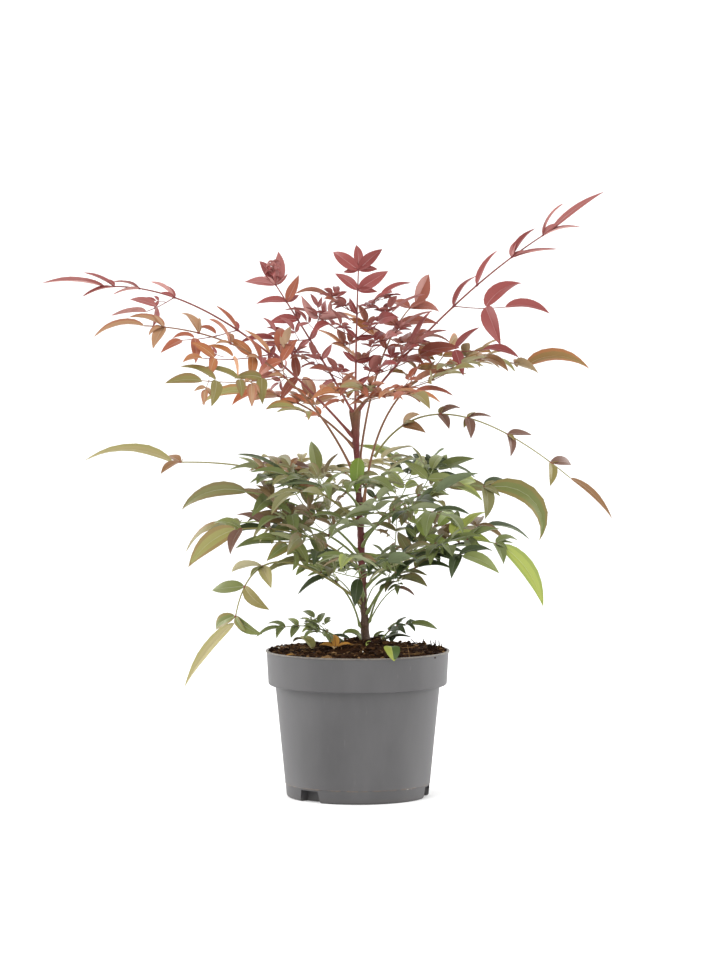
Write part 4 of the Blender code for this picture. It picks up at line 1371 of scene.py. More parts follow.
@dataclass
class Growth:
    """One frond as it grows: its axis, its twigs and its leaflets."""

    frond: Frond
    axis: Axis
    space: Clearance
    twigs: list[Twig] = field(default_factory=list)
    leaves: list[Leaf] = field(default_factory=list)
    rachis_radius: float = 0.00095
    spray_radius: float = 0.0007
    turns: tuple[float, ...] = (0.0, 16.0, -16.0, 32.0, -32.0)
    margin: float = 0.0005
    root_share: float = 0.2
    rust_below: float = 0.412
    small_leaflet: float = 0.55

    def __post_init__(self) -> None:
        """Start from the frond's own seed."""
        self.rng = random.Random(self.frond.seed)
        self.dealer = random.Random(self.frond.seed * 3 + 1)
        self.node = self.frond.masses[-1]
        self.shade = self.frond.tip_shade or self.deal()
        self.named = list(self.frond.dealt)

    def deal(self, height: float = 1.0) -> str:
        """Deal a shade for a spray: below the red top the crown is rusty.

        Args:
            height: the height of the spray.

        Returns:
            The shade's name.
        """
        low = height < self.rust_below + self.dealer.uniform(-0.012, 0.012)
        tint = Tint.RUST if low and self.frond.tint is Tint.CRIMSON else self.frond.tint
        return self.dealer.choices(tint.shades, tint.weights)[0]

    def sections(self) -> list[tuple[str, float, float]]:
        """The stretches of axis that the masses take: each mass's node and its two shares."""
        gap = GAP / self.axis.length()
        split, masses = self.frond.split, self.frond.masses
        start = 0.0 if self.frond.carrier == "soil" else self.frond.bough_share + gap
        if split >= 1.0:
            return [(masses[0], start, 1.0)]
        return [(masses[0], start, split), (masses[1], split + gap, 1.0)]

    def start(self) -> None:
        """Place the stems and the leaflet at the tip, which sets how far the crown reaches."""
        frond = self.frond
        for node, low, high in self.sections():
            marks = [low] + [share for share in frond.nodes if low < share < high] + [high]
            shares = [low]
            for before, after in zip(marks, marks[1:]):
                runs = max(1, round(self.axis.length() * (after - before) / 0.034))
                shares += [before + (after - before) * (k + 1) / runs for k in range(runs)]
            radii = [self.rachis_radius * frond.girth * (1 - 0.35 * share) for share in shares]
            stem = loft(three_sided([self.axis.point(share) for share in shares], radii))
            self.space.keep(node, stem, stem)
        bend = (frond.tip_lift, frond.tip_droop)
        self.leaf(self.axis.point(1.0), self.axis.tangent(1.0), 0, frond.tip, bend, frond.tip_turn,
                  frond.tip_breadth)

    def room(self, leaf: Leaf, margin: float) -> tuple[Solid, Solid]:
        """What a leaflet takes up with air round it: the whole of it, and all but its root."""
        return loft(envelope(leaf, margin)), loft(envelope(leaf, margin, self.root_share))

    def leaf(self, root: Vector, tangent: Vector, hand: int, length: float,
             bend: Optional[tuple[float, float]] = None, turn: float = 0.0,
             broad: float = 1.0, angle: float = LEAF_ANGLE) -> Optional[Leaf]:
        """Add a leaflet where it is free, trying a few turns.

        Args:
            root: where it stands.
            tangent: the direction of what bears it.
            hand: -1 or 1, or 0 for straight ahead.
            length: its length before it varies.
            bend: its lift and droop in degrees, or None for a seeded bend.
            turn: how far its blade turns about its midrib, in degrees.
            broad: its breadth against the usual.
            angle: how far it spreads from what bears it, in degrees.

        Returns:
            The leaflet, or None where there is no room.
        """
        rng, roll = self.rng, self.frond.roll
        side = frame_at(tangent, roll)[0]
        up = frame_at(tangent, roll * 0.45 + rng.uniform(-24, 24))[1]
        length *= rng.uniform(0.86, 1.14)
        lift, droop = bend or (rng.uniform(4, 20), rng.uniform(26, 58))
        lean = rng.uniform(-8, 8)
        base = root + side * (hand * GAP * self.frond.girth)
        for aside in self.turns:
            heading = turned_in(tangent, side, hand * angle + lean + aside)
            upward = (up - heading * up.dot(heading)).normalized()
            leaf = Leaf(base, heading, upward, length, math.radians(lift), math.radians(droop), turn, broad,
                        self.shade)
            if self.space.is_free(self.node, *self.room(leaf, self.margin)):
                self.space.keep(self.node, *self.room(leaf, 0.0))
                self.leaves.append(leaf)
                return leaf
        return None

    def spray(self, root: Vector, tangent: Vector, hand: int, length: float) -> None:
        """Add a side spray where it is free: a twig with pairs of leaflets and one at its end.

        Args:
            root: where it stands.
            tangent: the direction of the axis there.
            hand: the side it stands on, -1 or 1.
            length: its length.
        """
        frond, rng = self.frond, self.rng
        side, up = frame_at(tangent, frond.roll)
        heading = turned_in(tangent, side, hand * (LEAF_ANGLE + rng.uniform(-7, 7)))
        heading = (heading + up * rng.uniform(-0.10, 0.22)).normalized()
        points = [root + heading * length * 0.15, root + heading * length]
        radius = self.spray_radius * frond.girth
        radii = [radius, radius * 0.7]
        beyond = loft(three_sided(points, radii, self.margin))
        if not self.space.is_free(self.node, beyond, beyond):
            return
        self.space.keep(self.node, loft([[root - heading * 0.0006]] + three_sided(points, radii)), beyond)
        self.shade = self.named.pop(0) if self.named else self.deal(points[-1].z)
        pairs = max(1, round(length / (0.74 * frond.leaflet)) - 1)
        bearing = [(pair + 1) / (pairs + 0.6) for pair in range(pairs)]
        self.twigs.append(Twig(root, points[-1], (radius * 0.75, radius * 0.55), bearing))
        first = len(self.leaves)
        for share in bearing:
            for way in (-1, 1):
                self.leaf(root + heading * length * share, heading, way, frond.leaflet * 0.9)
        self.leaf(points[-1], heading, 0, frond.leaflet * 1.1)
        for leaf in self.leaves[first:]:
            leaf.bold = len(self.twigs) == frond.bold_spray + 1

    def node_pair(self, share: float) -> None:
        """Add what stands on both sides of one node: two sprays, or two leaflets near the tip.

        Args:
            share: the node's share of the axis.
        """
        frond = self.frond
        root, tangent = self.axis.point(share), self.axis.tangent(share)
        length = frond.side * (1 - share) * self.axis.length()
        for hand in (-1, 1):
            self.rng = random.Random(frond.seed + 7 * round(share * 100) + hand)
            reach = length * (1 + hand * frond.bias)
            if reach > 0.75 * frond.leaflet:
                self.spray(root, tangent, hand, reach)
            else:
                self.shade = self.deal(root.z) if self.dealer.random() < 0.35 else self.shade
                self.leaf(root, tangent, hand, frond.leaflet, None, frond.pair_turn,
                          0.8 if frond.pair_turn else 1.0, frond.spread)

    def grow(self) -> None:
        """Add the sprays and leaflets at the nodes."""
        for node, low, high in self.sections():
            self.node = node
            for share in self.frond.nodes:
                if low <= share <= high:
                    self.node_pair(share)

    def refine(self) -> None:
        """Carry the growth on: small leaflets at the nodes, and finer twigs of three within the sprays."""
        frond = self.frond
        self.rng = random.Random(frond.seed + 5)
        for share in frond.nodes:
            for hand in (-1, 1):
                tangent = (self.axis.tangent(share) + UP * self.rng.uniform(0.1, 0.6)).normalized()
                if self.rng.random() < frond.young:
                    self.leaf(self.axis.point(share), tangent, hand, frond.leaflet * self.small_leaflet,
                              angle=frond.spread)
        for twig in list(self.twigs):
            run = twig.end - twig.start
            heading, length = run.normalized(), run.length
            for low, high in zip([0.0] + twig.bearing, twig.bearing + [1.0]):
                for hand in (-1, 1):
                    if self.rng.random() < frond.fine:
                        self.finer_twig(twig.start + heading * length * (low + high) / 2, heading, hand)

    def knotted(self) -> None:
        """Crowd the youngest leaflets, still curled, into a knot at the tip."""
        tip = self.axis.point(1.0)
        self.shade = "crimson"
        for index in range(self.frond.knot):
            height = index / self.frond.knot
            turn = 2.4 * index
            out = Vector((math.cos(turn), math.sin(turn), 0.5 + height)).normalized()
            root = tip + UP * (0.003 + 0.014 * height)
            upward = (UP - out * out.z).normalized()
            self.leaves.append(Leaf(root, out, upward, 0.0115 - 0.003 * height, math.radians(30),
                                    math.radians(150), self.rng.uniform(-40, 40), 1.5, self.shade))
        if self.frond.knot:
            self.twigs.append(Twig(tip, tip + UP * 0.017, (0.0006, 0.0004), []))

    def finer_twig(self, root: Vector, tangent: Vector, hand: int) -> None:
        """Add a short twig with one leaflet at its end and, where there is room, a pair below it.

        Args:
            root: where it stands.
            tangent: the direction of the twig that bears it.
            hand: the side it stands on, -1 or 1.
        """
        rng, leaflet = self.rng, self.frond.leaflet
        length = leaflet * rng.uniform(0.25, 0.4)
        side, up = frame_at(tangent, self.frond.roll)
        heading = turned_in(tangent, side, hand * rng.uniform(40, 70))
        heading = (heading + up * rng.uniform(-0.3, 0.7)).normalized()
        end = root + heading * length
        if self.leaf(end, heading, 0, leaflet * rng.uniform(0.5, 0.75)):
            radius = self.spray_radius * self.frond.girth * 0.52
            self.twigs.append(Twig(root, end, (radius, radius * 0.8), [0.75]))
            for way in (-1, 1):
                self.leaf(root + heading * length * 0.75, heading, way, leaflet * 0.4)


@dataclass
class Cane:
    """The one cane: a flared foot, a slow taper, leaf scars, and the sheaths that widen its top."""

    foot_x: float = 0.0072
    lean: float = -0.0096
    foot: float = 0.1448
    top: float = CANE_TOP
    buried: float = 0.006
    radius: float = 0.0025
    taper: float = 0.0005
    flare: float = 0.0019
    flare_share: float = 0.035
    sheath: float = 0.0019
    sheath_share: float = 0.14
    scars: tuple[float, ...] = (0.158, 0.171, 0.1855, 0.192, 0.206)
    scar: float = 0.00035
    scar_length: float = 0.0009
    joint: float = 0.00045
    joint_length: float = 0.0032
    ridge: float = 0.00028
    sides: int = 22
    steps: int = 210
    clasp_long: float = 0.017
    clasp_short: float = 0.011
    clasp_above: float = 0.3
    clasp_thickness: float = 0.0011
    clasp_rings: tuple[Triple, ...] = (
        (1.0, 70, 0.00005), (0.7, 62, 0.0003), (0.35, 52, 0.0006), (0.08, 40, 0.0010), (-0.12, 24, 0.0012),
        (-0.25, 10, 0.0008))

    def share(self, height: float) -> float:
        """How far up the cane a height is."""
        return (height - self.foot) / (self.top - self.foot)

    def point(self, height: float) -> Vector:
        """The cane's centre at a height."""
        return Vector((self.foot_x + self.lean * self.share(height), 0.0, height))

    def girth(self, height: float) -> float:
        """The cane's radius at a height, as in the solid.

        Args:
            height: the height.

        Returns:
            The radius.
        """
        share = self.share(height)
        return (self.radius + self.taper * (1 - share) + self.flare * math.exp(-share / self.flare_share)
                + self.sheath * max(0.0, (share - 1 + self.sheath_share) / self.sheath_share))

    def surface(self, height: float, feet: list[float]) -> float:
        """The cane's radius at a height, with its scars and its swellings.

        Args:
            height: the height.
            feet: the heights of the stalks' feet, each on a swelling.

        Returns:
            The radius.
        """
        rings = [(self.scar, (height - mark) / self.scar_length) for mark in self.scars]
        rings += [(self.joint, (height - mark) / self.joint_length) for mark in feet]
        return self.girth(height) + sum(size * math.exp(-away ** 2) for size, away in rings)

    def build(self) -> None:
        """Make the cane's piece, with a swelling and a sheath where each frond leaves it."""
        borne = [frond for frond in FRONDS if frond.carrier == "cane"]
        feet = [frond.foot for frond in borne if frond.foot < self.top]
        skin = Skin("cane_stem")
        low = self.foot - self.buried
        rings = []
        for height in (low + (self.top - low) * k / self.steps for k in range(self.steps + 1)):
            centre, radius = self.point(max(height, self.foot)), self.surface(height, feet)
            centre.z = height
            places = []
            for out in (around(turn) for turn in spokes(self.sides)):
                ridge = noise.noise(Vector((out.x * 2.4, out.y * 2.4, height * 55)))
                places.append(centre + out * (radius + self.ridge * ridge))
            rings.append(skin.ring(places))
        rings.append(skin.ring([self.point(self.top) + UP * 0.0015]))
        for first, second in zip(rings, rings[1:]):
            skin.bridge(first, second, "cane_bark")
        for frond in borne:
            self.clasp(skin, frond)
        skin.piece("bark", ("cane",))

    def clasp(self, skin: Skin, frond: Frond) -> None:
        """Add the sheath by which a stalk clasps the cane below its foot.

        Args:
            skin: the cane's skin.
            frond: the frond whose stalk it bears.
        """
        foot = self.top - 0.001 if frond.foot >= self.top else frond.foot
        long = self.clasp_long if frond.foot > self.clasp_above else self.clasp_short
        facing = math.radians(frond.heading)
        rings = []
        for drop, span, stand in self.clasp_rings:
            height = foot - long * drop
            level = min(height, self.top)
            centre, radius = self.point(level), self.girth(level) + stand
            centre.z = height
            turns = [facing + math.radians(span * (k / 4 - 1)) for k in range(9)]
            outer = [centre + around(turn) * radius for turn in turns]
            inner = [centre + around(turn) * (radius - self.clasp_thickness) for turn in reversed(turns)]
            rings.append(skin.ring(outer + inner))
        for first, second in zip(rings, rings[1:]):
            skin.bridge(first, second, "cane_bark")


@dataclass
class DrawnFrond:
    """One grown frond as it shows: its bare stalk, its twigs and its leaflets."""

    growth: Growth
    cane: Cane
    stalk_radius: float = 0.00118
    stalk_taper: float = 0.00058

    def __post_init__(self) -> None:
        """Take the frond and its axis from its growth."""
        self.frond, self.axis = self.growth.frond, self.growth.axis

    def girth(self, share: float) -> float:
        """The axis's radius at a share of it."""
        swell = 0.0 if self.frond.carrier == "soil" else math.exp(-share / 0.02)
        return self.frond.girth * (self.stalk_radius - self.stalk_taper * share) * (1 + 0.7 * swell)

    def marks(self, low: float, high: float) -> Iterator[tuple[float, float]]:
        """Places along a stretch of axis, closer at its nodes.

        Args:
            low: the share where the stretch starts.
            high: the share where it ends.

        Yields:
            The share, and how much the stalk swells there.
        """
        length, nodes = self.axis.length(), self.frond.nodes
        count = max(2, round(length * (high - low) / 0.005))
        shares = {low, high}.union(low + (high - low) * k / count for k in range(count + 1))
        offsets = (-0.0022, -0.0012, -0.0005, 0.0003, 0.0011, 0.0022)
        shares.update(node + offset / length for node in nodes for offset in offsets)
        for share in sorted(shares):
            if low <= share <= high:
                yield share, sum(math.exp(-((share - node) * length / 0.0011) ** 2) for node in nodes)

    def limb(self) -> None:
        """Make the piece of the bare stalk."""
        frond, axis, cane = self.frond, self.axis, self.cane
        skin = Skin(f"stalk_{frond.name}")
        marks = [share for share, _ in self.marks(0.0, frond.bough_share)]
        points = [axis.point(share) for share in marks]
        root = points[0] - axis.tangent(0.0) * 0.001
        if frond.carrier == "cane":
            inward = 0.5 if frond.foot < cane.top else 0.6
            root = cane.point(frond.foot - 0.002) + (points[0] - cane.point(frond.foot)) * inward
        radii = [self.girth(share) for share in marks]
        skin.tube([root] + points, [radii[0] * 1.15] + radii, 10, lambda _: frond.tint.stalks.stalk)
        skin.piece("bark", (f"bough_{frond.name}",))

    def twigs(self) -> None:
        """Make the piece of the axis beyond the bare stalk and of the twigs of the sprays."""
        frond, tone = self.frond, self.frond.tint.stalks
        skin = Skin(f"twigs_{frond.name}")
        marks = list(self.marks(frond.bough_share, 1.0))
        points = [self.axis.point(share) for share, _ in marks]
        radii = [self.girth(share) * (1 + 0.55 * swelling) for share, swelling in marks]
        swollen = [swelling > 0.35 for _, swelling in marks]
        skin.tube(points, radii, 8, lambda k: tone.swelling if swollen[k] or swollen[k + 1] else tone.stalk)
        for twig in self.growth.twigs:
            self.twig(skin, twig, tone.stalk)
        skin.piece(frond.tint.slot, frond.masses)

    def twig(self, skin: Skin, twig: Twig, finish: str) -> None:
        """Add a twig that sags a little and swells where it bears leaflets.

        Args:
            skin: the skin that takes it.
            twig: the twig.
            finish: its finish.
        """
        sag = UP * (twig.end - twig.start).length * -0.03
        shares = {0.0, 0.08, 0.3, 0.5, 0.7, 0.9, 1.0}
        shares.update(share + aside for share in twig.bearing for aside in (-0.03, 0.0, 0.03))
        places, widths = [], []
        for share in sorted(share for share in shares if share <= 1.0):
            near = sum(math.exp(-((share - joint) / 0.022) ** 2) for joint in [0.0] + twig.bearing)
            places.append(twig.start.lerp(twig.end, share) + sag * math.sin(math.pi * share))
            widths.append((twig.radii[0] + (twig.radii[1] - twig.radii[0]) * share) * (1 + 0.6 * near))
        skin.tube(places, widths, 6, lambda _: finish)

    def grown(self, leaf: Leaf, rng: random.Random) -> Leaf:
        """The leaflet as it has grown: a slim tip narrower, the others a little unlike their neighbours.

        Args:
            leaf: the leaflet as it was placed.
            rng: draws how it differs.

        Returns:
            The leaflet to draw.
        """
        if leaf is self.growth.leaves[0]:
            return replace(leaf, broad=leaf.broad * self.frond.tip_slim)
        if leaf.bold:
            return replace(leaf, length=leaf.length * 1.22, broad=leaf.broad * 1.25, droop=leaf.droop * 1.5,
                           turn=24.0)
        if leaf.turn != 0.0:
            return leaf
        turn = rng.uniform(-65, 65) if rng.random() < 0.22 else 0.0
        return replace(leaf, heading=turned_in(leaf.heading, leaf.aside(), rng.uniform(-10, 10)), turn=turn,
                       length=leaf.length * rng.uniform(0.86, 1.0), droop=leaf.droop * rng.uniform(0.8, 1.4))

    def leaflets(self) -> None:
        """Make the piece of the leaflets."""
        skin = Skin(f"leaves_{self.frond.name}")
        rng = random.Random(self.frond.seed + 11)
        for leaf in self.growth.leaves:
            Blade().draw(skin, self.grown(leaf, rng), rng)
        skin.piece(self.frond.tint.slot, self.frond.masses, LEAF_CREASE)
        LOG.info("%s bears %d leaflets", self.frond.name, len(self.growth.leaves))

    def build(self) -> None:
        """Make the frond's pieces."""
        if self.frond.carrier != "soil":
            self.limb()
        self.twigs()
        self.leaflets()


@dataclass
class Plant:
    """The whole plant above the peat: the cane, the stalks, the twigs and the leaflets."""

    cane: Cane
    peat: Peat
    bough_radius: float = 0.0013
    rachis_radius: float = 0.00095
    top_ring: float = 0.0027
    lone_leaves: tuple[tuple, ...] = (
        ("bright_green", (0.0008, -0.045, 0.314), 0.298, -97, 0.034, -52, 40, 1.15),
        ("deep_green", (0.0004, -0.03, 0.203), 0.176, -100, 0.027, -50, 46, 1.2),
        ("deep_green", (-0.0244, -0.015, 0.205), 0.166, 186, 0.036, -12, 36, 1.1),
        ("deep_green", (0.016, -0.02, 0.196), 0.17, -12, 0.028, 38, 46, 1.2),
        ("plum", (0.0362, -0.006, 0.193), 0.152, -6.0, 0.019, -4.0, 40, 1.2))

    def __post_init__(self) -> None:
        """Start with no frond grown."""
        self.space = Clearance()
        self.growths: dict[str, Growth] = {}

    def stalk(self, frond: Frond, share: float) -> float:
        """The bare stalk's radius in the solid, at a share of it."""
        at_foot, at_node = math.exp(-share / 0.06), math.exp((share - 1) / 0.06)
        return self.bough_radius * frond.girth * (1 - 0.35 * share) * (1 + 0.45 * (at_foot + at_node / 2))

    def axis(self, frond: Frond) -> Axis:
        """Lay out a frond's axis.

        Args:
            frond: the frond.

        Returns:
            Its axis, the foot just clear of what carries it.
        """
        out = around(math.radians(frond.heading))
        knee = out * frond.knee_out + UP * frond.knee_up
        end = out * frond.reach + UP * frond.rise
        tangent = knee.normalized()
        girth = self.rachis_radius * frond.girth if frond.carrier == "soil" else self.stalk(frond, 0.0)

        def extent(direction: Vector) -> float:
            """How far the stalk's first ring extends along a direction."""
            return girth * math.sqrt(max(0.0, 1 - tangent.dot(direction) ** 2))

        if frond.carrier == "soil":
            x, y = self.cane.foot_x + frond.foot * out.x, frond.foot * out.y
            start = Vector((x, y, self.peat.height(x, y) + extent(UP)))
        elif frond.carrier != "cane":
            axis, bearer = self.growths[frond.carrier].axis, self.growths[frond.carrier].frond
            share = frond.foot * bearer.bough_share
            along = axis.tangent(share)
            sideways = (out - along * out.dot(along)).normalized()
            start = axis.point(share) + sideways * (self.stalk(bearer, frond.foot) + GAP + extent(sideways))
        elif frond.foot >= self.cane.top:
            start = self.cane.point(self.cane.top) + out * self.top_ring + UP * (GAP + extent(UP))
        else:
            start = self.cane.point(frond.foot) + out * (self.cane.girth(frond.foot) + GAP + extent(out))
        return Axis(start, start + knee, start + end)

    def occupy(self) -> None:
        """Keep the leaflets clear of the solid pot, soil, cane and stalks."""
        for name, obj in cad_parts.items():
            if not name.startswith("foliage"):
                solid = ([vert.co.copy() for vert in obj.data.vertices],
                         [tuple(face.vertices) for face in obj.data.polygons])
                self.space.keep(name, solid, solid)

    def grow(self) -> None:
        """Grow every frond: first all stems and tips, then the sprays, then the finer twigs."""
        self.occupy()
        for frond in FRONDS:
            self.growths[frond.name] = Growth(frond, self.axis(frond), self.space)
        for step in (Growth.start, Growth.grow, Growth.refine, Growth.knotted):
            for growth in self.growths.values():
                step(growth)

    def cane_leaves(self) -> None:
        """Make the piece of the few single leaflets, on stalks of their own, that stand close to the cane."""
        skin = Skin("leaves_on_cane")
        rng = random.Random(5)
        for shade, place, foot, *form in self.lone_leaves:
            root, start = Vector(place), self.cane.point(foot)
            stalk = Axis(start, start.lerp(root, 0.5) + UP * (root.z - start.z) * 0.35, root)
            shares = [k / 6 for k in range(7)]
            radii = [0.0007 - 0.00024 * share for share in shares]
            skin.tube([stalk.point(share) for share in shares], radii, 8, lambda _: StalkTone.GREEN.stalk)
            Blade().draw(skin, Leaf.single(shade, root, *form), rng)
        skin.piece("foliage_green", (), LEAF_CREASE)

    def build(self) -> None:
        """Grow the plant and make its pieces."""
        self.grow()
        self.cane_leaves()
        self.cane.build()
        for growth in self.growths.values():
            DrawnFrond(growth, self.cane).build()


class LeafForm(Enum):
    """Leaf outlines, as the powers of the width's rise and fall along the midrib."""

    LANCE = (0.66, 1.12)
    HEART = (0.42, 0.85)


@dataclass
class Blade:
    """Draws leaflets as thin closed blades: two folded halves over a paler rib, with a duller underside."""

    form: LeafForm = LeafForm.LANCE
    stations: tuple[float, ...] = (0.03, 0.09, 0.18, 0.30, 0.43, 0.56, 0.69, 0.81, 0.91, 0.97)
    half_reach: float = 0.58
    fold: float = 0.34
    fold_power: float = 0.85
    thickness: float = 0.00038
    thickest: float = 1.9
    rib: float = 0.00034
    wave: float = 0.035
    sickle: float = 0.07
    twist: float = 14.0
    to_viewer: tuple[float, float] = (0.0, 22.0)
    edged: float = 0.35
    left_half: str = ""
    tip_from: int = 9

    def breadth(self, share: float) -> float:
        """The width at a share of the length, against the greatest."""
        (rise, fall), both = self.form.value, sum(self.form.value)
        return (share * both / rise) ** rise * ((1 - share) * both / fall) ** fall

    def finishes(self, leaf: Leaf, rng: random.Random) -> list[str]:
        """The finishes across the upper skin, from edge to edge.

        Args:
            leaf: the leaflet.
            rng: draws whether its edge is warmer.

        Returns:
            Six finishes.
        """
        edged = leaf.shade in EDGED_SHADES and (rng.random() < self.edged or leaf.turn != 0.0)
        edge, rib = f"{leaf.shade}_edge" if edged else leaf.shade, f"{leaf.shade}_rib"
        left = [self.left_half] * 2 if self.left_half else [edge, leaf.shade]
        return left + [rib, rib, leaf.shade, edge]

    def draw(self, skin: Skin, leaf: Leaf, rng: random.Random) -> None:
        """Add one leaflet.

        Args:
            skin: the skin that takes it.
            leaf: the leaflet.
            rng: varies its wave, twist and sideways bend.
        """
        side = leaf.aside()
        sickle, twist = rng.uniform(-self.sickle, self.sickle), rng.uniform(-self.twist, self.twist)
        lean = rng.uniform(*self.to_viewer) * -side.y * (leaf.turn == 0.0)
        phase, waves = rng.uniform(0, 2 * math.pi), rng.uniform(1.2, 2.2)
        base, tip = skin.ring([leaf.root]), skin.ring([leaf.midrib(1.0)[0] + side * sickle * leaf.length])
        uppers, unders = [], []
        for share in self.stations:
            middle, across, lifted = leaf.blade(share, twist * share + lean)
            middle = middle + side * (sickle * share * share * leaf.length)
            half = leaf.width() / 2 * self.breadth(share)
            rib, depth = (min(size, half * 0.3) for size in (self.rib * (1.1 - share), self.thickness))
            upper, under = [], []
            for reach in (-1.0, -self.half_reach, -rib / half, 0.0, rib / half, self.half_reach, 1.0):
                curl = math.sin(phase + waves * 2 * math.pi * share + 1.3 * reach)
                rise = half * (self.fold * abs(reach) ** self.fold_power + self.wave * abs(reach) * curl)
                upper.append(middle + across * half * reach + lifted * rise)
            for reach, deep in ((0.55, 1.0), (0.0, self.thickest), (-0.55, 1.0)):
                rise = half * self.fold * abs(reach) ** self.fold_power
                under.append(middle + across * half * reach + lifted * (rise - depth * deep))
            uppers.append(skin.ring(upper))
            unders.append([uppers[-1][-1]] + skin.ring(under) + [uppers[-1][0]])
        names = self.finishes(leaf, rng)
        for index, (first, second) in enumerate(zip([base] + uppers, uppers + [tip])):
            for k, name in enumerate(names):
                self.strip(skin, first, second, k, names[-1] if index >= self.tip_from else name)
        for first, second in zip([base] + unders, unders + [tip]):
            for k in range(4):
                self.strip(skin, first, second, k, f"{leaf.shade}_under")

    @staticmethod
    def strip(skin: Skin, first: list[int], second: list[int], k: int, finish: str) -> None:
        """Add one face between two stations, either of which may be a single point."""
        low, high = (ring if len(ring) == 1 else ring[k:k + 2] for ring in (first, second))
        skin.face(tuple(low + high[::-1]), finish)


@dataclass
class Litter:
    """The few leaves that lie and stand on the peat, and the one that hangs over the rim."""

    peat: Peat
    above: float = 0.0008
    places: tuple[tuple, ...] = (
        ("withered", -0.02, -0.02, 100, 0.017, 68, 60, 1.3),
        ("withered", -0.0215, -0.021, 172, 0.015, 38, 60, 1.3),
        ("withered", -0.0185, -0.021, 350, 0.015, 34, 50, 1.2),
        ("ochre", -0.02, -0.024, 262, 0.013, 24, 50, 1.3),
        ("straw_green", -0.042, -0.006, 150, 0.027, 74, 120, 1.7),
        ("leaf_green", 0.003, -0.014, 190, 0.021, 66, 96, 1.7),
        ("deep_green", -0.007, 0.014, 172, 0.021, 28, 40, 1.0),
        ("deep_green", -0.016, 0.018, 150, 0.017, 40, 50, 1.0),
        ("deep_green", 0.025, 0.012, 10, 0.026, 24, 40, 1.3),
        ("deep_green", 0.016, 0.016, 14, 0.013, 30, 40, 1.1),
        ("leaf_green", 0.015, 0.018, 20, 0.014, 62, 60, 1.0),
        ("deep_green", 0.031, 0.016, 60, 0.019, 64, 70, 1.2),
        ("leaf_green", 0.026, 0.016, 150, 0.014, 50, 60, 1.2),
        ("leaf_green", -0.024, 0.01, 120, 0.017, 56, 70, 1.1),
        ("lime", 0.008, -0.024, 60, 0.01, 52, 60, 0.9),
        ("withered", -0.056, -0.034, 200, 0.013, 10, 30, 0.9))

    def build(self) -> None:
        """Make the litter's piece."""
        skin = Skin("fallen_leaves")
        rng = random.Random(29)
        for shade, x, y, *form in self.places:
            root = Vector((x, y, self.peat.surface(x, y) + self.above))
            Blade().draw(skin, Leaf.single(shade, root, *form), rng)
        over_rim = Leaf(Vector((0.0300, -0.0700, 0.1450)), Vector((0.14, -0.99, 0.0)), UP.copy(), 0.0185,
                        math.radians(-14), math.radians(62), 0.0, 2.3, "rim_leaf")
        Blade(LeafForm.HEART, fold=0.18, left_half="rim_leaf_dark").draw(skin, over_rim, rng)
        skin.piece("foliage_olive", (), LEAF_CREASE)


# The studio


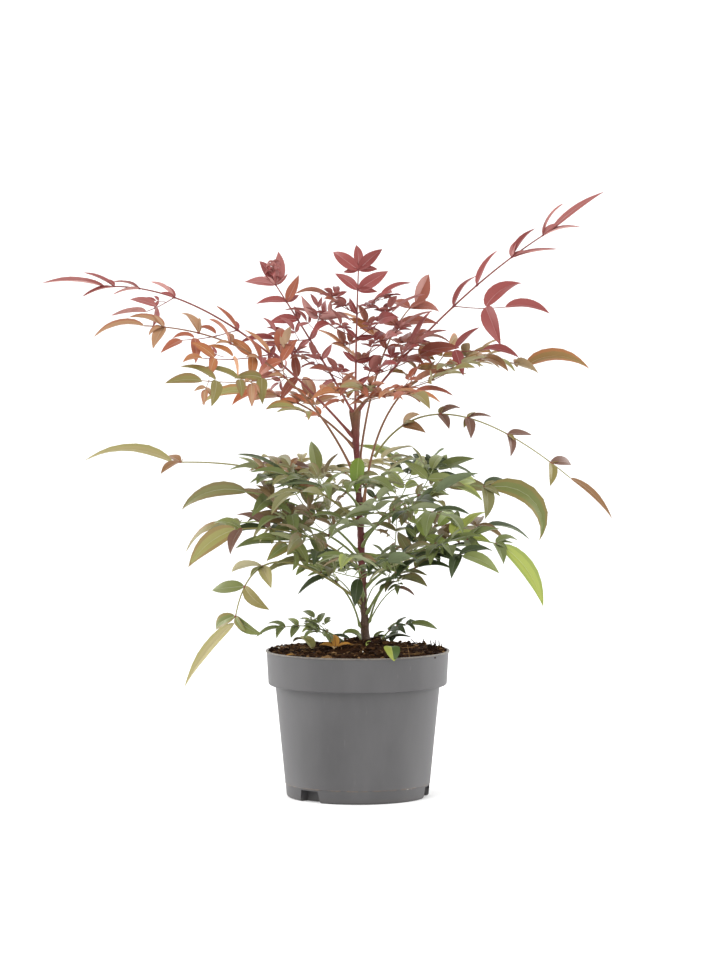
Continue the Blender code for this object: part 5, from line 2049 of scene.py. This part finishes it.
@dataclass
class Studio:
    """A white sweep, soft lamps and the camera at the photograph's place."""

    eye: Triple = (0.0022, -3.4, 0.467)
    pitch: float = -2.95
    lens: float = 138.7
    sensor: float = 36.0
    clip: tuple[float, float] = (0.05, 30.0)
    half_width: float = 5.0
    front: float = -4.5
    bend_start: float = 3.8
    bend_radius: float = 1.0
    wall_height: float = 4.0
    sky: float = 0.85
    lamps: tuple[tuple, ...] = (
        ("key_lamp", (-1.3, -1.9, 2.3), 1.6, 44.0, (0, 0, 0.28)),
        ("fill_lamp", (1.8, -1.7, 1.3), 1.5, 20.0, (0, 0, 0.28)),
        ("left_edge_lamp", (-1.5, 0.55, 0.7), 0.9, 21.0, (0, 0, 0.28)),
        ("right_edge_lamp", (1.5, 0.55, 0.7), 0.9, 18.0, (0, 0, 0.28)),
        ("backdrop_lamp", (0, 2.4, 3.4), 2.2, 60.0, (0, 4.8, 0.9)))

    def camera(self) -> None:
        """Place the camera."""
        data = bpy.data.cameras.new("studio_camera")
        data.lens = self.lens
        data.sensor_width = self.sensor
        data.clip_start, data.clip_end = self.clip
        obj = linked("studio_camera", data)
        obj.location = self.eye
        obj.rotation_euler = (math.radians(90 + self.pitch), 0.0, 0.0)
        bpy.context.scene.camera = obj

    def hang_lamps(self) -> None:
        """Hang the soft lamps, each with its place, its side, its power in watts and what it faces."""
        for name, place, side, power, target in self.lamps:
            data = bpy.data.lights.new(name, "AREA")
            data.shape = "SQUARE"
            data.size = side
            data.energy = power
            obj = linked(name, data)
            obj.location = place
            obj.rotation_euler = (Vector(target) - Vector(place)).to_track_quat("-Z", "Y").to_euler()

    def sweep(self) -> None:
        """Lay a pale floor that curves up behind the plant."""
        skin = Skin("studio_sweep")
        size, line = self.bend_radius, [(self.front, 0.0)]
        for turn in (math.radians(angle) for angle in range(0, 91, 6)):
            line.append((self.bend_start + size * math.sin(turn), size * (1.0 - math.cos(turn))))
        line.append((self.bend_start + size, self.wall_height))
        rows = [skin.ring([Vector((x, y, z)) for x in (-self.half_width, self.half_width)]) for y, z in line]
        for first, second in zip(rows, rows[1:]):
            skin.face((first[0], first[1], second[1], second[0]), "pale_sweep")
        floor = skin.shape()
        for face in floor.data.polygons:
            face.use_smooth = True
        floor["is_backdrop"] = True

    def build(self) -> None:
        """Set up the studio."""
        self.camera()
        self.sweep()
        self.hang_lamps()
        world = bpy.data.worlds.new("studio_world")
        world.use_nodes = True
        background = world.node_tree.nodes["Background"]
        background.inputs["Color"].default_value = (1.0, 1.0, 1.0, 1.0)
        background.inputs["Strength"].default_value = self.sky
        bpy.context.scene.world = world
        bpy.context.scene.view_settings.view_transform = "Standard"


def corners(box: tuple[Vector, Vector]) -> list[list[float]]:
    """A box's two corners as plain lists."""
    return [[float(part) for part in corner] for corner in box]


def main() -> None:
    """Build the studio, the pot, the peat and the plant."""
    logging.basicConfig(level=logging.INFO, format="%(name)s %(message)s")
    cad_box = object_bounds()
    Studio().build()
    peat = Peat()
    Pot().build()
    peat.build()
    Plant(Cane(), peat).build()
    Litter(peat).build()
    visual_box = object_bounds()
    {"cad": corners(cad_box), "visual": corners(visual_box)}
    LOG.info("boxes %s and %s", corners(cad_box), corners(visual_box))


if __name__ == "__main__":
    main()
